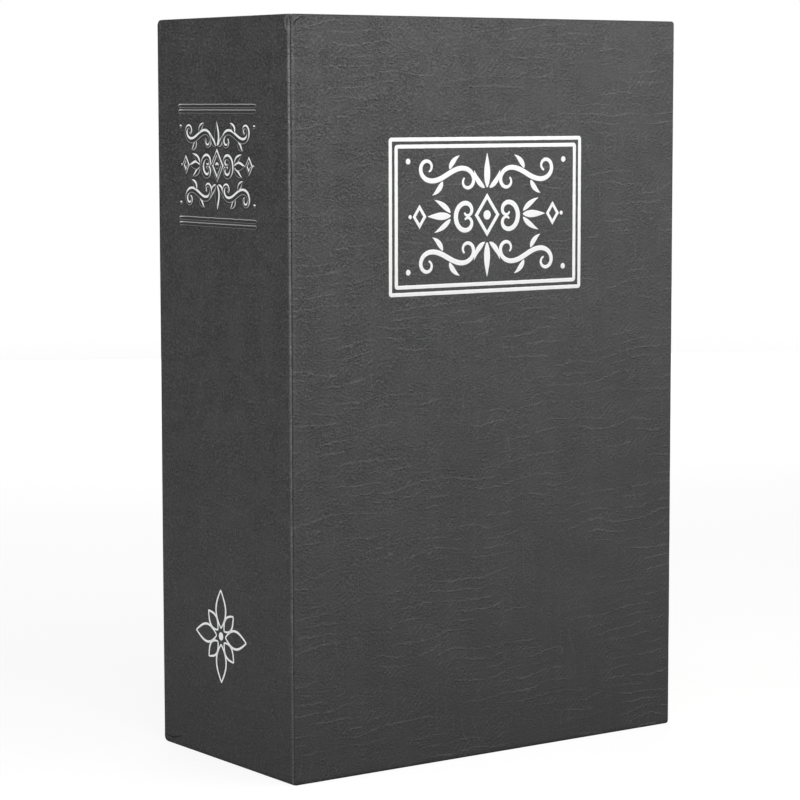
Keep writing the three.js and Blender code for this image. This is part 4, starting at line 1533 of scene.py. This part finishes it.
@dataclass
class Ornament:
    """A bookbinder's panel ornament of scrolls, leaves, lozenges and dots, mirrored about its centre."""

    tool: Tooling
    centre: Pair
    scale: float
    weight: float

    def stroke(
        self,
        path: np.ndarray,
        width: np.ndarray,
        mirror: Mirror,
        closed: bool = False,
    ) -> None:
        """Stamps a path and its mirror images, scaled about the centre.

        Args:
            path: Points about the centre, before scaling.
            width: Width at each, before weighting.
            mirror: Which images are stamped.
            closed: Whether the path's end joins its start.
        """
        for signs in mirror.value:
            image = np.array(self.centre) + path * np.array(signs) * self.scale
            self.tool.line(image, width * self.weight, closed)

    def scroll(
        self,
        place: Pair,
        heading: float,
        length: float,
        first: float,
        last: float,
        width: float,
        mirror: Mirror,
    ) -> None:
        """Stamps a scroll whose heading turns with the fourth power of the distance to each end.

        Args:
            place: Its middle.
            heading: Its heading in the middle, in degrees.
            length: Its length.
            first: Turn of its first curl in degrees.
            last: Turn of its last curl in degrees.
            width: Its widest width.
            mirror: Which images are stamped.
        """
        t = np.linspace(0, 1, 76)
        half_way = 0.5 ** 4
        angle = heading + first * ((1 - t) ** 4 - half_way) + last * (t ** 4 - half_way)
        steps = np.stack([np.cos(np.radians(angle)), np.sin(np.radians(angle))], -1) * length / (len(t) - 1)
        path = np.cumsum(steps, axis=0)
        swell = 0.35 + 0.65 * np.sin(math.pi * t) ** 0.7
        self.stroke(path - path[len(t) // 2] + place, width * swell, mirror)

    def leaf(
        self,
        place: Pair,
        heading: float,
        length: float,
        width: float,
        mirror: Mirror,
        bow: float = 0.0,
    ) -> None:
        """Stamps a leaf: a short bowed stroke that swells from its stalk and ends in a point.

        Args:
            place: Its stalk's end.
            heading: Its heading in degrees.
            length: Its length.
            width: Its widest width.
            mirror: Which images are stamped.
            bow: How many degrees its heading turns from stalk to point.
        """
        t = np.linspace(0, 1, 22)
        angle = np.radians(heading + bow * (t - 0.5))
        path = np.cumsum(np.stack([np.cos(angle), np.sin(angle)], -1), axis=0) * length / (len(t) - 1)
        self.stroke(path + place, width * np.sin(math.pi * (0.02 + 0.96 * t) ** 0.75), mirror)

    def lozenge(
        self,
        place: Pair,
        half: Pair,
        width: float,
        mirror: Mirror = Mirror.NONE,
    ) -> None:
        """Stamps a lozenge outline: straight steps between its four corners.

        Args:
            place: Its middle.
            half: Half its width and half its height.
            width: The line's width.
            mirror: Which images are stamped.
        """
        corners = np.array([(-half[0], 0), (0, -half[1]), (half[0], 0), (0, half[1])]) + place
        steps = np.linspace(0, 1, 8, endpoint=False)[None, :, None]
        path = (corners[:, None] + (np.roll(corners, -1, 0) - corners)[:, None] * steps).reshape(-1, 2)
        self.stroke(path, np.full(len(path), width), mirror, closed=True)

    def dot(self, place: Pair, radius: float, mirror: Mirror = Mirror.NONE) -> None:
        """Stamps a round dot: a short stroke whose width follows a circle.

        Args:
            place: Its middle.
            radius: Its radius.
            mirror: Which images are stamped.
        """
        t = np.linspace(-1, 1, 13)
        path = np.stack([place[0] + radius * t, np.full_like(t, place[1])], -1)
        girth = 2 * radius * np.sqrt(np.maximum(1 - t * t, 0.002)) * self.scale / self.weight
        self.stroke(path, girth, mirror)

    def stamp(self) -> None:
        """Stamps the whole ornament; places and sizes are millimetres about its centre, before scaling."""
        self.lozenge((0, 0), (3.3, 4.6), 0.85)
        self.dot((0, 0), 1.15)
        self.scroll((9.6, 0.0), 90, 22.0, -338, 338, 1.25, Mirror.SIDES)
        self.leaf((10.9, 0.0), 0, 6.9, 1.8, Mirror.SIDES)
        self.leaf((11.1, 0.6), 34, 5.8, 1.3, Mirror.FOUR_WAYS, -26)
        self.lozenge((20.6, 0), (1.6, 2.3), 0.75, Mirror.SIDES)
        self.dot((23.4, 0), 0.5, Mirror.SIDES)
        self.scroll((12.6, 9.9), -27, 33.0, 415, 415, 1.25, Mirror.FOUR_WAYS)
        self.leaf((13.6, 8.6), -48, 4.6, 1.3, Mirror.FOUR_WAYS, 46)
        self.leaf((11.6, 11.2), 132, 4.6, 1.3, Mirror.FOUR_WAYS, 46)
        self.leaf((0.0, 6.4), 90, 8.4, 1.8, Mirror.ENDS)
        self.leaf((0.5, 6.6), 52, 5.6, 1.3, Mirror.FOUR_WAYS, 50)
        self.dot((24.0, 13.4), 0.7, Mirror.FOUR_WAYS)


@dataclass
class FrontPanel:
    """Double frame on the front cover, with a traditional scrolled ornament inside it."""

    outer: tuple[Pair, Pair] = ((27.95, 114.4), (85.3, 151.06))
    inner: tuple[Pair, Pair] = ((29.63, 116.1), (83.66, 149.39))
    line: float = 0.92
    ornament_scale: float = 0.98
    ornament_weight: float = 1.0

    def build(self, sheet: FrontSheet) -> None:
        """Stamps the frames and the ornament.

        Args:
            sheet: The front cover's paper.
        """
        tool = Tooling(sheet, WHITE_FOIL, Body.FRONT_COVER)
        tool.rectangle(*self.outer, self.line)
        tool.rectangle(*self.inner, self.line)
        (u0, v0), (u1, v1) = self.outer
        middle = ((u0 + u1) / 2, (v0 + v1) / 2)
        Ornament(tool, middle, self.ornament_scale, self.ornament_weight).stamp()
        tool.build("front_tooling")


@dataclass
class SpinePanel:
    """Two pairs of rules on the spine with a scrolled ornament between them, and a rosette near the tail."""

    near: float = 14.9
    far: float = 49.6
    rules: tuple[float, ...] = (159.05, 157.7, 131.95, 130.6)
    line: float = 0.92
    painted_shine: float = 0.4
    ornament_scale: float = 0.69
    ornament_weight: float = 1.25
    rosette_place: Pair = (32.2, 30.8)
    petals: tuple[Pair, Pair] = ((11.4, 2.2), (8.0, 1.7))
    petal_start: float = 2.0
    petal_line: float = 0.58
    eye: float = 1.0

    def build(self, sheet: CaseSheet) -> None:
        """Stamps the rules and the ornaments.

        Args:
            sheet: The spine's paper.
        """
        rules = Tooling(sheet, SILVER_FOIL, Body.CASE, rim=0.2, lower_rim_highlight=0.45, halo=0.14)
        for v in self.rules:
            rules.rule(self.near, self.far, v, self.line, self.painted_shine)
        rules.build("spine_rules")
        tool = Tooling(sheet, SILVER_FOIL, Body.CASE, rim=0.55, lower_rim_highlight=0.25, halo=0.4)
        middle = ((self.near + self.far) / 2, (self.rules[1] + self.rules[2]) / 2)
        Ornament(tool, middle, self.ornament_scale, self.ornament_weight).stamp()
        tool.build("spine_tooling")
        self.rosette(sheet)

    def rosette(self, sheet: CaseSheet) -> None:
        """Stamps a rosette of eight petals, long and short in turn, about a dot.

        Each petal is two strokes from its start to its reach, bowed out by a sine of the way along them.

        Args:
            sheet: The spine's paper.
        """
        tool = Tooling(sheet, BRIGHT_FOIL, Body.CASE, rim=0.08)
        t = np.linspace(0, 1, 21)
        width = self.petal_line * (0.7 + 0.3 * np.sin(math.pi * t))
        for index in range(8):
            angle = index * math.pi / 4
            reach, bulge = self.petals[index % 2]
            along = self.petal_start + (reach - self.petal_start) * t
            for bow in (1, -1):
                across = bow * bulge * np.sin(math.pi * t ** 0.9)
                u = along * math.cos(angle) - across * math.sin(angle)
                v = along * math.sin(angle) + across * math.cos(angle)
                tool.line(np.stack([u, v], -1) + self.rosette_place, width)
        Ornament(tool, self.rosette_place, 1.0, 1.0).dot((0, 0), self.eye)
        tool.build("tail_rosette")


@dataclass(frozen=True)
class Lamp:
    """A soft rectangular lamp, with its place, its aim and its size in metres."""

    name: str
    place: Triple
    aim: Triple
    size: Pair
    watts: float

    def hang(self) -> None:
        """Adds the lamp, turned from its place to its aim and out of the camera's sight."""
        data = bpy.data.lights.new(self.name, "AREA")
        data.shape = "RECTANGLE"
        data.size, data.size_y = self.size
        data.energy = self.watts
        lamp = bpy.data.objects.new(self.name, data)
        lamp.location = self.place
        lamp.rotation_euler = (Vector(self.aim) - Vector(self.place)).to_track_quat("-Z", "Y").to_euler()
        lamp.visible_camera = False
        bpy.context.scene.collection.objects.link(lamp)


LAMPS = (
    Lamp("key_strip", (-0.005, -0.223, 0.30), aim=(-0.03, -0.03, 0.155), size=(0.5, 0.18), watts=1.21),
    Lamp("side_softbox", (-0.716, 0.0, 0.376), aim=(-0.058, 0.0, 0.126), size=(0.4, 0.3), watts=2.0),
    Lamp("back_softbox", (0.5, 0.9, 0.25), aim=(0.0, 0.0, 0.09), size=(0.8, 0.6), watts=6.4),
)


@dataclass
class Studio:
    """Pale floor, white surroundings, soft lamps and the camera at the photograph's angle.

    focal_px is the lens in pixels of the photograph, whose side is image_px. ambient is the light of the
    surroundings, floor_grey and floor_white are the floor's colours for light and for the eye, floor_share
    is how much of the seen floor is glow, and glow is its strength nearer and farther than glow_mm.
    """

    camera_mm: Triple = (-415.2, -571.9, 159.3)
    turn_deg: float = 35.59
    dip_deg: float = 5.99
    roll_deg: float = -0.09
    focal_px: float = 2816.9
    image_px: float = 800.0
    sensor_mm: float = 36.0
    clip_m: Pair = (0.01, 50.0)
    floor_grey: float = 0.24
    floor_white: float = 0.9
    floor_share: float = 0.8
    glow: Pair = (1.07, 1.235)
    glow_mm: Pair = (350.0, 1500.0)
    ambient: float = 0.104
    floor_rings_m: tuple[float, ...] = (0.0, 0.2, 0.5, 1.2, 3.0, 9.0)
    floor_sides: int = 48

    def camera(self) -> None:
        """Sets up the camera: dipped and rolled about its own axes after its turn about the upright."""
        data = bpy.data.cameras.new("photo_camera")
        data.sensor_width = self.sensor_mm
        data.lens = self.focal_px / self.image_px * self.sensor_mm
        data.clip_start, data.clip_end = self.clip_m
        camera = bpy.data.objects.new("photo_camera", data)
        aim = Matrix.Rotation(-math.radians(self.turn_deg), 4, "Z")
        dip = Matrix.Rotation(math.pi / 2 - math.radians(self.dip_deg), 4, "X")
        roll = Matrix.Rotation(math.radians(self.roll_deg), 4, "Z")
        camera.matrix_world = Matrix.Translation(Vector(self.camera_mm) * MM) @ aim @ dip @ roll
        bpy.context.scene.collection.objects.link(camera)
        bpy.context.scene.camera = camera

    def seen_share(self, r: Recipe, full: float) -> Wire:
        """A share for the rays by which a surface is seen.

        Args:
            r: The node tree that needs it.
            full: The share of camera, glossy and transmission rays.

        Returns:
            The full share for these, and none for the others.
        """
        camera, glossy, through = (
            r.node("ShaderNodeLightPath", None, None, f"Is {kind} Ray")
            for kind in ("Camera", "Glossy", "Transmission")
        )
        return r.math("MAXIMUM", r.math("MAXIMUM", camera, glossy), through) * full

    def world(self) -> None:
        """Makes the surroundings white where they are seen or mirrored, and a soft light elsewhere."""
        world = bpy.data.worlds.new("studio")
        bpy.context.scene.world = world
        r = Recipe(world)
        soft, white = (
            r.node("ShaderNodeBackground", None, {"Color": WHITE, "Strength": strength})
            for strength in (self.ambient, 1.0)
        )
        r.finish(r.mix(self.seen_share(r, 1.0), soft, white), "ShaderNodeOutputWorld")

    def floor(self) -> None:
        """Lays a round floor that lights the book as a grey one, but is seen white with the book's shadow.

        Where it is seen or mirrored it is a pale surface under the lamps plus a glow, and the glow grows
        with distance, since the lamps light the far floor less.
        """
        rings = np.array(self.floor_rings_m) / MM
        turn = np.linspace(0, 2 * math.pi, self.floor_sides, endpoint=False)
        x, y = rings[:, None] * np.cos(turn), rings[:, None] * np.sin(turn)
        flat = np.stack([x, y, 0 * x], -1).reshape(-1, 3)
        r = Recipe(bpy.data.materials.new("pale_floor"))
        colour = r.blend(self.seen_share(r, 1.0), (self.floor_grey,) * 3, (self.floor_white,) * 3)
        lit = r.coat(Base_Color=colour, Roughness=0.9, Specular_IOR_Level=0.1)
        near, far = (
            r.node("ShaderNodeEmission", None, {"Color": WHITE, "Strength": strength})
            for strength in self.glow
        )
        glow = r.mix(r.ramp(r.measure("LENGTH", r.place()), *self.glow_mm), near, far)
        material = r.finish(r.mix(self.seen_share(r, self.floor_share), lit, glow))
        faces = grid_faces(len(rings), len(turn), closed_columns=True)
        Shell(flat, faces).make("floor", material)

    def build(self) -> None:
        """Sets up the whole studio."""
        self.camera()
        self.world()
        self.floor()
        for lamp in LAMPS:
            lamp.hang()


def main() -> None:
    """Builds the studio, dresses the carried nodes and makes the book's covering and tooling."""
    logging.basicConfig(level=logging.INFO, format="%(message)s")
    bpy.context.scene.view_settings.view_transform = "Standard"
    Studio().build()
    for carried in (BOARDS, PAGE_BLOCK, STEEL_BOX, CAM_LOCK):
        carried.dress()
    boxes = np.array([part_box(name) for name in ("case_wrap", "front_wrap")]) / MM
    case = Case(boxes[:, 0].min(0), boxes[:, 1].max(0))
    case.build()
    FrontPanel().build(case.front)
    SpinePanel().build(case.case)


if __name__ == "__main__":
    main()
